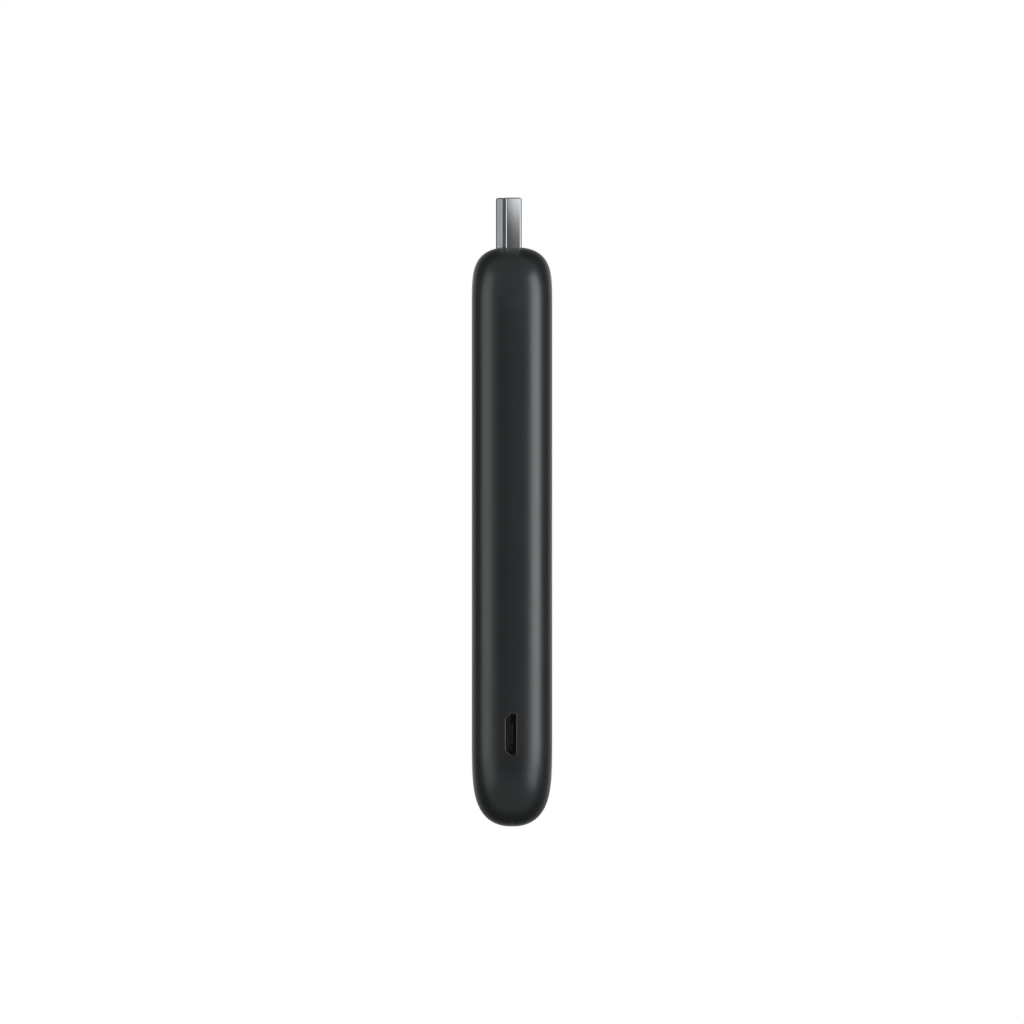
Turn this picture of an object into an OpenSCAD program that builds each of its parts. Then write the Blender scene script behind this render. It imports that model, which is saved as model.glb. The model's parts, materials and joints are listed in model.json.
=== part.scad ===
// Streaming stick: a rounded two-part housing that plugs into a television by its own HDMI plug,
// with a micro-USB power port in one side and the board, shields and heat spreaders inside.
//
// Millimetres. +Z runs along the stick and out through the plug, -Y is the front face, and the
// port is in the +X side. The origin is on the plug's axis, level with the end of the housing.

/* [Housing] */
// Width across the broad face
body_w = 30; // [29:0.5:34]
// Thickness from the front face to the rear face
body_t = 13.8; // [13.2:0.1:15.5]
// Length of the housing without the plug
body_l = 99.5; // [96:0.5:112]
// Wall of both housings
wall = 1.4; // [1.2:0.1:1.6]
// How far the rounded edge reaches in from each long side
side_roll = 6.5; // [5.5:0.1:7.5]
// How far the rounding reaches back from the plug end
plug_roll = 9.6; // [8:0.1:10.5]
// How far the rounding reaches back from the far end
far_roll = 16; // [14:0.25:17]
// Width of each corner, seen from the front
corner_w = 10; // [8:0.5:11]
// Length of the two corners at the plug end, seen from the front
plug_corner = 11; // [10.8:0.2:13]
// Length of the two corners at the far end, seen from the front
far_corner = 15.5; // [15.2:0.1:17]
// Hairline gap between the two housings
seam = 0.04; // [0.02:0.01:0.1]

/* [Housing joint] */
// Height of the lip that keeps the two housings in line
lip_h = 0.9; // [0.6:0.1:1.2]
// Thickness of that lip
lip_t = 0.6; // [0.5:0.05:0.7]
// Room round the lip in its groove
lip_room = 0.08; // [0.05:0.01:0.12]
// Length of each snap hook
hook_l = 4; // [3:0.5:6]
// How far each snap hook stands out of the lip
hook_out = 0.3; // [0.2:0.05:0.35]
// Number of snap hooks on each long side
hook_count = 3; // [2:1:4]

/* [Housing ribs] */
// Thickness of the ribs that grip the board
rib_t = 1.2; // [0.8:0.1:1.6]
// How far those ribs reach over the board's edge
rib_over = 0.8; // [0.5:0.1:1]
// Diameter of the locating pins
pin_d = 1.3; // [1:0.1:1.5]
// Diameter of the bosses under the board
boss_d = 2.8; // [2.4:0.1:3]
// Length of the collar that holds the plug, inside the end wall
collar_l = 2; // [1.5:0.1:2.4]

/* [HDMI plug] */
// Width of the plug's shell
plug_w = 13.9; // [13.8:0.05:14]
// Height of the plug's shell
plug_h = 4.45; // [4.4:0.05:4.5]
// How far the plug stands out of the housing
plug_reach = 8.45; // [8:0.05:12]
// How far the shell goes on inside the housing
plug_inside = 6.2; // [5.8:0.1:7]
// Distance from the plug's axis to the middle of the housing's thickness
plug_offset = 0.55; // [0.3:0.05:0.8]
// Sheet of the plug's shell
plug_sheet = 0.3; // [0.25:0.05:0.35]
// Height of the wide part of the plug, above its step
plug_wide_h = 2.66; // [2.4:0.02:2.8]
// Height of the step between the wide and the narrow part
plug_step_h = 0.66; // [0.5:0.02:0.8]
// How far each side has stepped in just past the step
plug_step_in = 1.25; // [1.05:0.05:1.5]
// How far each side has stepped in at the narrow face
plug_narrow_in = 1.6; // [1.45:0.05:1.9]
// Room round the plug in the housing's end
plug_room = 0.1; // [0.05:0.01:0.2]
// Radius of the plug's outer corners
plug_round = 0.5; // [0.4:0.05:0.8]
// Length of the tapered lead-in at the tip
plug_lead = 0.5; // [0.3:0.05:0.8]
// How far the lead-in draws each side in
plug_draw = 0.15; // [0.1:0.01:0.25]
// Plastic and sheet beside each end of the slot for the television's tongue
slot_side = 1.25; // [1:0.05:1.4]
// Height of that slot
slot_h = 1.3; // [1.2:0.05:1.4]
// Thickness of each contact
contact_t = 0.25; // [0.2:0.01:0.3]
// Width of each contact
contact_w = 0.45; // [0.35:0.05:0.5]

/* [Power port] */
// Length inside the receptacle's shell
usb_l = 6.9; // [6.8:0.05:7.2]
// Height inside the receptacle's shell
usb_h = 1.86; // [1.8:0.02:2.1]
// Cut corner inside the receptacle's shell
usb_cut = 0.85; // [0.75:0.05:0.95]
// Room past each end of the receptacle in the housing's opening
port_room_l = 0.11; // [0.08:0.01:0.5]
// Room past each side of the receptacle in the housing's opening
port_room_h = 0.04; // [0.03:0.01:0.2]
// Room round the receptacle's shell, inside the housings
port_slack = 0.13; // [0.1:0.01:0.2]
// Distance from the far end to the middle of the port
port_from_end = 16.2; // [15:0.1:18]
// Distance from the port's middle to the middle of the housing's thickness
port_offset = 0.17; // [0:0.01:0.3]
// Wall that is left round the port
port_wall = 0.9; // [0.8:0.05:1.1]
// Width of the bevel round the port's opening
port_bevel = 0.14; // [0.1:0.01:0.25]
// Depth of the receptacle
usb_depth = 5; // [4.8:0.1:5.6]
// Sheet of the receptacle's shell
usb_sheet = 0.25; // [0.2:0.05:0.3]
// Width of the receptacle's tongue
tongue_w = 3.45; // [3.4:0.05:3.7]
// Thickness of the tongue
tongue_t = 0.66; // [0.6:0.02:0.7]

/* [Board] */
// Thickness of the circuit board
board_t = 1; // [0.8:0.1:1.2]
// Distance from each long edge of the board to the housing's wall
board_gap = 1.3; // [1.2:0.1:1.6]
// Distance from the plug end of the housing to the board
board_start = 8.6; // [8.2:0.1:9.4]
// Room past the board's far edge, where the aerials are
aerial_room = 7.1; // [6.8:0.1:8]
// Side of the processor
processor_w = 12; // [10:0.5:13]
// Height of the processor
processor_h = 0.9; // [0.7:0.05:1.1]

/* [Shields and cooling] */
// Width of the front shield
front_shield_w = 18; // [17:0.5:19]
// Length of the front shield
front_shield_l = 50; // [46:1:54]
// Height of the front shield above the board
front_shield_h = 1.8; // [1.7:0.1:2]
// Width of the rear shield
rear_shield_w = 18.5; // [17:0.5:19]
// Length of the rear shield
rear_shield_l = 58; // [52:1:60]
// Height of the rear shield above the board
rear_shield_h = 2.2; // [2:0.1:2.6]
// Sheet of both shields
shield_sheet = 0.2; // [0.15:0.05:0.25]
// Thickness of both heat spreaders
spreader_t = 1; // [0.8:0.1:1.2]
// Thickness of the tape that holds each heat spreader to its housing
tape_t = 0.15; // [0.1:0.05:0.2]
// Length of the front heat spreader
front_spreader_l = 54; // [50:1:56]
// Length of the rear heat spreader
rear_spreader_l = 62; // [58:1:64]

/* [Aerials] */
// Width of the block that carries the aerials
carrier_w = 16; // [14:0.5:17]
// Length of that block, along the stick
carrier_l = 5; // [4.5:0.1:5.2]
// Thickness of that block
carrier_t = 5.4; // [4.8:0.1:6]
// Sheet of the aerials
aerial_sheet = 0.15; // [0.1:0.01:0.2]

/* [Hidden] */
$fn = 48;

// Curves of the housing: the powers of its superellipses, and how finely they are drawn
face_power = 2.6;
side_power = 2.4;
plug_power = 3.8;
far_power = 4.35;
far_face_power = 2.3;
corner_power = 2.2;
far_corner_power = 2.8;
skin_levels = 16;
skin_steps = 16;
core_levels = 8;
core_steps = 8;
past = 0.5;
through = 1;

// Levels through the thickness, from front to rear
body_y = plug_offset;
front_in = body_y - body_t / 2 + wall;
rear_in = body_y + body_t / 2 - wall;
board_front = -board_t / 2;
board_rear = board_t / 2;

// The board's outline, and where the shields sit on it
board_w = body_w - 2 * (wall + board_gap);
board_top = -board_start;
board_end = -body_l + wall + aerial_room;
board_corner = 2.5;
port_z = -body_l + port_from_end;
shield_z = (board_top + port_z) / 2;
touch = 0.05;

// The plug, its contacts and the legs that hold it to the board
tip_z = plug_reach;
pitch = 1;
slot_depth = 6.4;
insulator_back = 0.6;
contact_back = 1.5;
contact_end = tip_z - contact_back;
contact_rise = 0.18;
pad_l = 1.8;
leg_l = 4;
leg_h = 1.8;
leg_over = 1;
leg_root_h = 0.2;
leg_room = 0.1;
plug_step_w = plug_w / 2 - plug_step_in;
plug_narrow_w = plug_w / 2 - plug_narrow_in;
slot_w = plug_w - 2 * slot_side;
step_round = 0.3;
block_in = 0.15;
block_h = 1.3;
bow_back = 1.4;
bow_l = 1.6;
plug_corners = [
    [plug_w / 2, plug_h / 2, plug_round], [-plug_w / 2, plug_h / 2, plug_round],
    [-plug_w / 2, plug_h / 2 - plug_wide_h, step_round],
    [-plug_step_w, plug_h / 2 - plug_wide_h - plug_step_h, step_round],
    [-plug_narrow_w, -plug_h / 2, plug_round], [plug_narrow_w, -plug_h / 2, plug_round],
    [plug_step_w, plug_h / 2 - plug_wide_h - plug_step_h, step_round],
    [plug_w / 2, plug_h / 2 - plug_wide_h, step_round],
];
window_w = 2.2;
window_l = 1.8;
window_in = 3.75;
window_x = plug_w / 2 - window_in;
window_from_tip = 5.2;

// The power receptacle
port_y = body_y - port_offset;
usb_front = body_w / 2 - port_wall - touch;
usb_back = usb_front - usb_depth;
usb_block = 1.4;
usb_bend = 0.1;
tongue_lift = 0.04;
tongue_y = port_y + tongue_lift;
tongue_face = tongue_y - tongue_t / 2;
tongue_back = 0.7;
tongue_end = usb_front - tongue_back;
usb_pitch = 0.65;
usb_contact_t = 0.15;
usb_contact_w = 0.3;
usb_contact_back = 0.9;
usb_tail = 1.6;
pocket_skin = 0.12;
pocket_t = 0.28;
pocket_l = 0.5;
tab_back = 0.6;
tab_l = 1.5;
tab_w = 1.4;
notch_room = 0.15;

// The chips, and how far along the board each sits from the middle of the shields
chip_row = 14;
chip_h = 0.8;
chip_step = 0.4;
chip_round = 0.3;
memory_w = 10;
memory_l = 12;
flash_w = 11.5;
flash_l = 13;
power_w = 5;
power_x = 3.5;
power_up = 18;
wireless_w = 8;
wireless_h = 0.9;
wireless_down = 16;

// The small parts on the board
crystal_w = 2;
crystal_l = 2.5;
crystal_h = 0.3;
crystal_step = 0.15;
crystal_places = [[5.5, 10], [-6.2, -16]];
inductor_w = 3;
inductor_h = 1.6;
inductor_foot = 0.4;
inductor_step = 0.2;
inductor_round = 0.6;
inductor_x = 4.5;
inductor_up = 23;
inductor_pitch = 4;
inductor_count = 3;
capacitor_w = 0.8;
capacitor_l = 1.6;
capacitor_x = 7;
capacitor_up = 10;
capacitor_pitch_x = 1.6;
capacitor_pitch_z = 2.2;
capacitor_columns = 4;
resistor_w = 0.5;
resistor_l = 1;
resistor_h = 0.35;
resistor_x = 1.5;
resistor_up = 6;
resistor_pitch_x = 1.2;
resistor_pitch_z = 1.6;
resistor_columns = 3;
row_count = 6;
surge_w = 1;
surge_l = 2.5;
surge_h = 0.5;
surge_round = 0.1;
surge_gap = 2.4;
surge_pitch = 3;
surge_count = 4;

// The shields, and the pads between chips, shields and heat spreaders
shield_rim = 1.1;
shield_round = 0.5;
front_cross = 6.75;
rear_cross = 9;
lid_h = 1;
lid_gap = 0.03;
lid_slot_w = 0.3;
lid_slot_h = 0.7;
lid_slot_count = 7;
pad_in = 1;
memory_pad_w = 8;
memory_pad_l = 9;
thermal_pad_w = 13;
front_pad_l = 42;
rear_pad_l = 46;
pad_round = 0.5;
spreader_round = 2;
tape_in = 0.5;

// Ribs, bosses and hooks of the housings
rib_start = 6;
rib_stop = 8;
rib_first = board_top - rib_start;
rib_last = port_z + rib_stop;
rib_count = 4;
pin_in = 1.9;
pin_from_end = 3.4;
pin_places = [
    [-board_w / 2 + pin_in, board_top - pin_from_end],
    [board_w / 2 - pin_in, board_top - pin_from_end],
    [-board_w / 2 + pin_in, board_end + pin_from_end],
];
pin_room = 0.1;
pin_past = 0.5;
pin_up = 1;
hook_h = 0.6;
hook_ramp = 0.3;
hook_catch = 0.1;
hook_root = 0.3;
lip_root = 0.05;
lip_up = 1;
groove_over = 0.4;
collar_over = 2;
stop_w = 3;
stop_in = 1;

// The aerials, on a block past the end of the board
carrier_lift = 0.1;
carrier_gap = 0.3;
carrier_wall = 1.2;
carrier_round = 0.8;
carrier_y = body_y - carrier_lift;
carrier_front = carrier_y - carrier_t / 2;
carrier_z = board_end - carrier_gap;
carrier_end = carrier_z - carrier_l;
aerial_gap = 1.6;
aerial_foot_w = 1.4;
aerial_foot_l = 2.4;
aerial_in = 0.8;
aerial_from_top = 0.4;
aerial_slot = 0.5;
aerial_slot_from_top = 2.1;
aerial_slot_pitch = 1.3;
aerial_bridge = 1;
clip_w = 1;
clip_l = 2.2;
clip_sheet = 0.2;
clip_in = 0.3;
feet = [2.3, 6];

// Colours
BLACK_PLASTIC = "#232427";
STEEL = "#a9abad";
GOLD = "#c9a24a";
BLACK_INSULATOR = "#151515";
BOARD_GREEN = "#1d4a33";
CHIP_BLACK = "#1b1b1d";
CERAMIC_TAN = "#8a7558";
ALUMINIUM = "#8f9296";
PAD_BLUE = "#7f93ad";
TAPE_GREY = "#5b5d60";

// Outlines

// Moves every side of a counter-clockwise polygon, given as [x, y, radius], outwards by d.
function grown(corners, d) =
    let (n = len(corners))
    [for (i = [0 : n - 1])
        let (
            p = [corners[i][0], corners[i][1]],
            a = p - [corners[(i + n - 1) % n][0], corners[(i + n - 1) % n][1]],
            b = [corners[(i + 1) % n][0], corners[(i + 1) % n][1]] - p,
            out_a = [a[1], -a[0]] / norm(a),
            out_b = [b[1], -b[0]] / norm(b),
            place = p + d * (out_a + out_b) / (1 + out_a * out_b),
            convex = a[0] * b[1] - a[1] * b[0] > 0
        )
        [place[0], place[1], corners[i][2] == 0 ? 0 : max(0.05, corners[i][2] + (convex ? d : -d))]];

// Rounds the corners of a polygon given as [x, y, radius].
function rounded(corners, steps = 6) =
    let (n = len(corners))
    [for (i = [0 : n - 1])
        let (
            p = [corners[i][0], corners[i][1]],
            before = [corners[(i + n - 1) % n][0], corners[(i + n - 1) % n][1]] - p,
            after = [corners[(i + 1) % n][0], corners[(i + 1) % n][1]] - p,
            u = before / norm(before),
            v = after / norm(after),
            half = acos(max(-1, min(1, u * v))) / 2,
            turn = u[0] * v[1] - u[1] * v[0] > 0 ? -1 : 1,
            r = corners[i][2],
            middle = p + (u + v) / norm(u + v) * r / sin(half),
            start = p + u * r / tan(half) - middle,
            from = atan2(start[1], start[0])
        )
        each r == 0 ? [p]
            : [for (k = [0 : steps])
                let (angle = from + turn * (180 - 2 * half) * k / steps)
                middle + r * [cos(angle), sin(angle)]]];

function rectangle(w, l, r) =
    rounded([[w / 2, l / 2, r], [-w / 2, l / 2, r], [-w / 2, -l / 2, r], [w / 2, -l / 2, r]]);

function plug_outline(d) = rounded(grown(plug_corners, d));

// The receptacle's outline as [y, z] about its middle, with its cut corners towards the front.
function usb_outline(across, along) =
    let (h = usb_h / 2 + across, l = usb_l / 2 + along, cut = usb_cut + min(across, along) * 0.6)
    rounded([[h, l, 0.2], [-h + cut, l, 0], [-h, l - cut, 0],
             [-h, -l + cut, 0], [-h + cut, -l, 0], [h, -l, 0.2]], 3);

// Share of a rounded edge's reach that is lost at t, from 0 at mid thickness to 1 at the face.
function lost(t, power, bend = face_power) = 1 - pow(1 - pow(t, bend), 1 / power);

// Outline of the housing seen from the front, as [x, z], at level t and with every wall set in.
function outline(t, inset, steps) =
    let (
        half_w = body_w / 2 - inset - (side_roll - inset) * lost(t, side_power),
        top = -inset - (plug_roll - inset) * lost(t, plug_power),
        bottom = -body_l + inset + (far_roll - inset) * lost(t, far_power, far_face_power),
        mid_x = body_w / 2 - corner_w,
        top_z = -plug_corner,
        far_z = -body_l + far_corner,
        wide = [for (k = [0 : steps]) pow(cos(90 * k / steps), 2 / corner_power)],
        up = [for (k = [0 : steps]) pow(sin(90 * k / steps), 2 / corner_power)],
        down = [for (k = [0 : steps]) pow(sin(90 * k / steps), 2 / far_corner_power)]
    )
    [for (corner = [0 : 3]) for (i = [0 : steps])
        let (
            k = corner % 2 == 0 ? i : steps - i,
            side = corner == 0 || corner == 3 ? 1 : -1,
            x = side * (mid_x + (half_w - mid_x) * wide[k]),
            z = corner < 2 ? top_z + (top - top_z) * up[k] : far_z + (bottom - far_z) * down[k]
        )
        [x, z]];

// Solids that several pieces share

// Half of the housing's shape, from a level just off mid thickness to one face.
// side is -1 for the front and 1 for the rear, and start is that level's distance from the middle.
module half_body(side, inset, start, levels, steps) {
    half_t = body_t / 2 - inset;
    ring = 4 * (steps + 1);
    points = [for (k = [0 : levels])
        let (t = pow(sin(90 * k / levels), 2 / face_power))
        for (p = outline(t, inset, steps))
            [p[0], body_y + side * (k == 0 ? start : half_t * t), p[1]]];
    walls = [for (k = [0 : levels - 1]) for (i = [0 : ring - 1])
        let (a = k * ring + i, b = k * ring + (i + 1) % ring)
        each [[a, b, b + ring], [a, b + ring, a + ring]]];
    near_cap = [for (i = [ring - 1 : -1 : 0]) i];
    far_cap = [for (i = [0 : ring - 1]) levels * ring + i];
    faces = concat(walls, [near_cap, far_cap]);
    polyhedron(points, side > 0 ? faces : [for (f = faces) [for (i = [len(f) - 1 : -1 : 0]) f[i]]]);
}

// A box from its lowest corner to its highest.
module box(low, high) {
    translate(low) cube(high - low);
}

// Stands an [x, z] outline up between two levels of y.
module slab(from, to) {
    translate([0, to, 0]) rotate([90, 0, 0]) linear_extrude(to - from) children();
}

// Runs a [y, z] outline through the port's middle, between two levels of x.
module across(from, to) {
    translate([from, port_y, port_z]) rotate([90, 0, 90]) linear_extrude(to - from) children();
}

// Runs a [y, z] profile along x, centred on a place in x.
module bent(x, w) {
    translate([x - w / 2, 0, 0]) rotate([90, 0, 90]) linear_extrude(w) children();
}

// Lays a block of height h on the board's front (side -1) or rear (side 1).
module on_board(side, x, z, w, l, h, lift = 0, r = 0) {
    low = side > 0 ? board_rear + lift : board_front - lift - h;
    translate([x, 0, z]) slab(low, low + h) polygon(rectangle(w, l, r));
}

// A chip: its carrier, and the moulded cap on it.
module chip(side, x, z, w, l, h) {
    base = 0.35 * h;
    on_board(side, x, z, w, l, base);
    on_board(side, x, z, w - 2 * chip_step, l - 2 * chip_step, h - base, base, chip_round);
}

// A round post along y between two levels.
module post(x, z, d, from, to) {
    translate([x, to, z]) rotate([90, 0, 0]) cylinder(d = d, h = to - from);
}

// Features of both housings

// The hollow of one half, less the ribs and bosses given as children.
module hollow(side) {
    difference() {
        half_body(side, wall, -past, core_levels, core_steps);
        children();
    }
}

// Ribs, bosses, collar and end stop of one half. ledge is the board's face on that side.
module inner_ribs(side, ledge) {
    low = side < 0 ? body_y - body_t : ledge;
    high = side < 0 ? ledge : body_y + body_t;
    for (x = [-1, 1]) for (k = [0 : rib_count - 1]) {
        z = rib_first + (rib_last - rib_first) * k / (rib_count - 1);
        reach = board_w / 2 - rib_over;
        box([x > 0 ? reach : -body_w, low, z - rib_t / 2], [x > 0 ? body_w : -reach, high, z + rib_t / 2]);
    }
    for (place = pin_places) post(place[0], place[1], boss_d, low, high);
    half_collar = plug_w / 2 + collar_over;
    box([-half_collar, body_y - body_t, -wall - collar_l], [half_collar, body_y + body_t, through]);
    for (x = [-1, 1]) {
        middle = x * (carrier_w / 2 - stop_w);
        box([middle - stop_w / 2, carrier_front + stop_in, -body_l],
            [middle + stop_w / 2, carrier_front + carrier_t, carrier_end - touch - aerial_sheet]);
    }
}

// The ring between two insets, seen from the front, from one level to another.
module ring(outer, inner, from, to) {
    slab(from, to) difference() {
        polygon(outline(0, outer, core_steps));
        polygon(outline(0, inner, core_steps));
    }
}

// The snap hooks, or the pockets that they catch in when room is over 0.
module hooks(room) {
    lip_x = body_w / 2 - wall + lip_t;
    low = body_y - lip_h;
    profile = [[-hook_root, -room], [0, -room], [hook_out + room, hook_ramp - room],
               [hook_out + room, hook_h - hook_catch + room], [0, hook_h + room],
               [-hook_root, hook_h + room]];
    for (side = [0, 1]) mirror([side, 0, 0]) for (k = [1 : hook_count]) {
        z = rib_first + (rib_last - rib_first) * (k - 0.5) / hook_count - hook_l / 2;
        translate([lip_x, low, z - room]) linear_extrude(hook_l + 2 * room) polygon(profile);
    }
}

// What passes through both halves: the plug's way out, and the port with its bevel.
module openings() {
    translate([0, 0, -wall - collar_l - through]) linear_extrude(wall + collar_l + 3 * through)
        polygon(plug_outline(plug_room));
    across(usb_front - through, body_w / 2 + through) polygon(usb_outline(port_room_h, port_room_l));
    across(usb_back - through, usb_front + touch)
        polygon(usb_outline(usb_sheet + port_slack, usb_sheet + port_slack));
    hull() {
        across(body_w / 2 - port_bevel, body_w / 2 - port_bevel + 0.01)
            polygon(usb_outline(port_room_h, port_room_l));
        across(body_w / 2 + port_bevel, body_w / 2 + port_bevel + 0.01)
            polygon(usb_outline(port_room_h + 2 * port_bevel, port_room_l + 2 * port_bevel));
    }
}

module front_housing() {
    color(BLACK_PLASTIC) difference() {
        half_body(-1, 0, seam / 2, skin_levels, skin_steps);
        hollow(-1) inner_ribs(-1, board_front - touch);
        ring(wall - lip_t - lip_room, wall + groove_over, body_y - lip_h - lip_room, body_y + through);
        hooks(lip_room);
        for (place = pin_places)
            post(place[0], place[1], pin_d + 2 * pin_room, board_front - 2 * pin_past, body_y + through);
        openings();
    }
}

module rear_housing() {
    color(BLACK_PLASTIC) {
        difference() {
            union() {
                half_body(1, 0, seam / 2, skin_levels, skin_steps);
                ring(wall - lip_t, wall - lip_root, body_y - lip_h, body_y + lip_up);
                hooks(0);
            }
            hollow(1) inner_ribs(1, board_rear + touch);
            openings();
        }
        for (place = pin_places)
            post(place[0], place[1], pin_d, board_front - pin_past, board_rear + pin_up);
    }
}

// The plug

// A strip of the sheet of one side wall, with its faces set in, from one height to another.
module leg(x, inset, half_h, from, to) {
    middle = x * (plug_w - plug_sheet) / 2;
    half_t = plug_sheet / 2 - inset;
    box([middle - half_t, -half_h, from], [middle + half_t, half_h, to]);
}

module hdmi_shell() {
    straight = tip_z - plug_lead + plug_inside;
    drawn = [1 - 2 * plug_draw / plug_w, 1 - 2 * plug_draw / plug_h];
    color(STEEL) difference() {
        union() {
            translate([0, 0, -plug_inside]) linear_extrude(straight) polygon(plug_outline(0));
            translate([0, 0, tip_z - plug_lead])
                linear_extrude(plug_lead, slices = 1, scale = drawn)
                    polygon(plug_outline(0));
            translate([0, 0, tip_z - plug_lead - touch]) linear_extrude(2 * touch)
                polygon(plug_outline(-plug_sheet / 2));
            for (x = [-1, 1]) {
                leg(x, 0, leg_h / 2, board_top - leg_l, -plug_inside);
                leg(x, plug_sheet / 4, leg_root_h, -plug_inside - leg_over, leg_over - plug_inside);
            }
        }
        translate([0, 0, -plug_inside - through])
            linear_extrude(tip_z + plug_inside + 2 * through)
            polygon(plug_outline(-plug_sheet));
        for (x = [-1, 1]) {
            z = tip_z - window_from_tip;
            box([x * window_x - window_w / 2, -plug_h, z - window_l / 2],
                [x * window_x + window_w / 2, plug_h, z + window_l / 2]);
        }
    }
}

// One contact as a [y, z] profile: a flat strip from its pad on the board to a bowed tip.
function contact_profile(side) =
    let (near = board_t / 2, far = near + contact_t, bow = contact_end - bow_back)
    [for (p = [[near, board_top - pad_l], [far, board_top - pad_l], [far, bow - bow_l],
               [far - contact_rise, bow], [far - contact_rise * 0.2, contact_end],
               [near - contact_rise * 0.2, contact_end], [near - contact_rise, bow],
               [near, bow - bow_l]])
        [side * p[0], p[1]]];

module contact_row(side, count) {
    color(GOLD) for (i = [0 : count - 1])
        bent((i - (count - 1) / 2) * pitch, contact_w) polygon(contact_profile(side));
}

module hdmi_insulator() {
    block_w = plug_narrow_w - block_in;
    color(BLACK_INSULATOR) difference() {
        union() {
            translate([0, 0, -plug_inside]) linear_extrude(tip_z - insulator_back + plug_inside)
                polygon(plug_outline(-plug_sheet));
            box([-block_w, -block_h, board_top + touch], [block_w, block_h, leg_over - plug_inside]);
        }
        box([-slot_w / 2, -slot_h / 2, tip_z - insulator_back - slot_depth],
            [slot_w / 2, slot_h / 2, tip_z]);
        contact_row(1, 10);
        contact_row(-1, 9);
    }
}

module hdmi_wide_contacts() {
    contact_row(1, 10);
}

module hdmi_narrow_contacts() {
    contact_row(-1, 9);
}

// The power receptacle

module usb_shell() {
    outer = usb_l / 2 + usb_sheet;
    color(STEEL) {
        difference() {
            across(usb_back, usb_front) polygon(usb_outline(usb_sheet, usb_sheet));
            across(usb_back - through, usb_front + through) polygon(usb_outline(0, 0));
        }
        for (side = [-1, 1]) {
            from = side > 0 ? outer - usb_sheet : -outer - tab_l;
            box([usb_back + tab_back, board_rear, port_z + from],
                [usb_back + tab_back + tab_w, board_rear + usb_sheet, port_z + from + tab_l + usb_sheet]);
        }
    }
}

// The five contacts, let into the front of the tongue, with their tails bent down to the board.
module usb_contacts() {
    depth = tongue_face + usb_contact_t;
    bend = usb_back - usb_bend;
    pad = board_front - usb_contact_t;
    color(GOLD) for (i = [-2 : 2]) {
        low = port_z + i * usb_pitch - usb_contact_w / 2;
        high = low + usb_contact_w;
        box([bend - usb_contact_t, tongue_face, low], [tongue_end - usb_contact_back, depth, high]);
        box([bend - usb_contact_t, pad, low], [bend, depth, high]);
        box([bend - usb_tail, pad, low], [bend, board_front, high]);
    }
}

// The five small pockets in the end of the tongue, one ahead of each contact.
module tongue_pockets() {
    from = tongue_face + pocket_skin;
    for (i = [-2 : 2]) {
        low = port_z + i * usb_pitch - usb_contact_w / 2;
        box([tongue_end - pocket_l, from, low], [tongue_end + through, from + pocket_t, low + usb_contact_w]);
    }
}

module usb_insulator() {
    color(BLACK_INSULATOR) difference() {
        union() {
            across(usb_back, usb_back + usb_block) polygon(usb_outline(0, 0));
            box([usb_back, tongue_face, port_z - tongue_w / 2],
                [tongue_end, tongue_face + tongue_t, port_z + tongue_w / 2]);
        }
        usb_contacts();
        tongue_pockets();
    }
}

// The board and what is on it

module main_board() {
    notch = usb_l / 2 + usb_sheet + notch_room;
    leg_x = plug_w / 2 - plug_sheet / 2;
    color(BOARD_GREEN) difference() {
        translate([0, 0, (board_top + board_end) / 2]) slab(board_front, board_rear)
            polygon(rectangle(board_w, board_top - board_end, board_corner));
        box([usb_back - 2 * notch_room, -board_t, port_z - notch], [body_w, board_t, port_z + notch]);
        for (x = [-leg_x, leg_x])
            box([x - plug_sheet / 2 - leg_room, -board_t, board_top - leg_l - leg_room],
                [x + plug_sheet / 2 + leg_room, board_t, board_top + through]);
        for (place = pin_places)
            post(place[0], place[1], pin_d + 2 * pin_room, -board_t, board_t);
    }
}

module processor() {
    color(CHIP_BLACK) chip(-1, 0, shield_z + chip_row, processor_w, processor_w, processor_h);
}

module memory_chip() {
    color(CHIP_BLACK) chip(-1, 0, shield_z, memory_w, memory_l, chip_h);
}

module flash_chip() {
    color(CHIP_BLACK) chip(-1, 0, shield_z - chip_row, flash_w, flash_l, chip_h);
}

module power_chip() {
    color(CHIP_BLACK) chip(1, -power_x, shield_z + power_up, power_w, power_w, chip_h);
}

module wireless_chip() {
    color(CHIP_BLACK) chip(1, 0, shield_z - wireless_down, wireless_w, wireless_w, wireless_h);
}

module clock_crystals() {
    color(STEEL) for (place = crystal_places) {
        z = shield_z + place[1];
        on_board(1, place[0], z, crystal_w, crystal_l, crystal_h);
        on_board(1, place[0], z, crystal_w - 2 * crystal_step, crystal_l - 2 * crystal_step,
                 crystal_h, crystal_h, 2 * crystal_step);
    }
}

module power_inductors() {
    core_w = inductor_w - 2 * inductor_step;
    color(TAPE_GREY) for (i = [0 : inductor_count - 1]) {
        z = shield_z + inductor_up - i * inductor_pitch;
        on_board(1, inductor_x, z, inductor_w, inductor_w, inductor_foot);
        on_board(1, inductor_x, z, core_w, core_w, inductor_h - inductor_foot, inductor_foot,
                 inductor_round);
    }
}

module capacitors() {
    color(CERAMIC_TAN) for (row = [0 : row_count - 1]) for (i = [0 : capacitor_columns - 1])
        on_board(1, i * capacitor_pitch_x - capacitor_x, shield_z + capacitor_up - row * capacitor_pitch_z,
                 capacitor_w, capacitor_l, capacitor_w);
}

module resistors() {
    color(CHIP_BLACK) for (row = [0 : row_count - 1]) for (i = [0 : resistor_columns - 1])
        on_board(1, resistor_x + i * resistor_pitch_x, shield_z + resistor_up - row * resistor_pitch_z,
                 resistor_w, resistor_l, resistor_h);
}

module surge_arrays() {
    color(CHIP_BLACK) for (i = [0 : surge_count - 1])
        on_board(-1, (i - (surge_count - 1) / 2) * surge_pitch, board_top - pad_l - surge_gap,
                 surge_w, surge_l, surge_h, 0, surge_round);
}

// The shields

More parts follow.
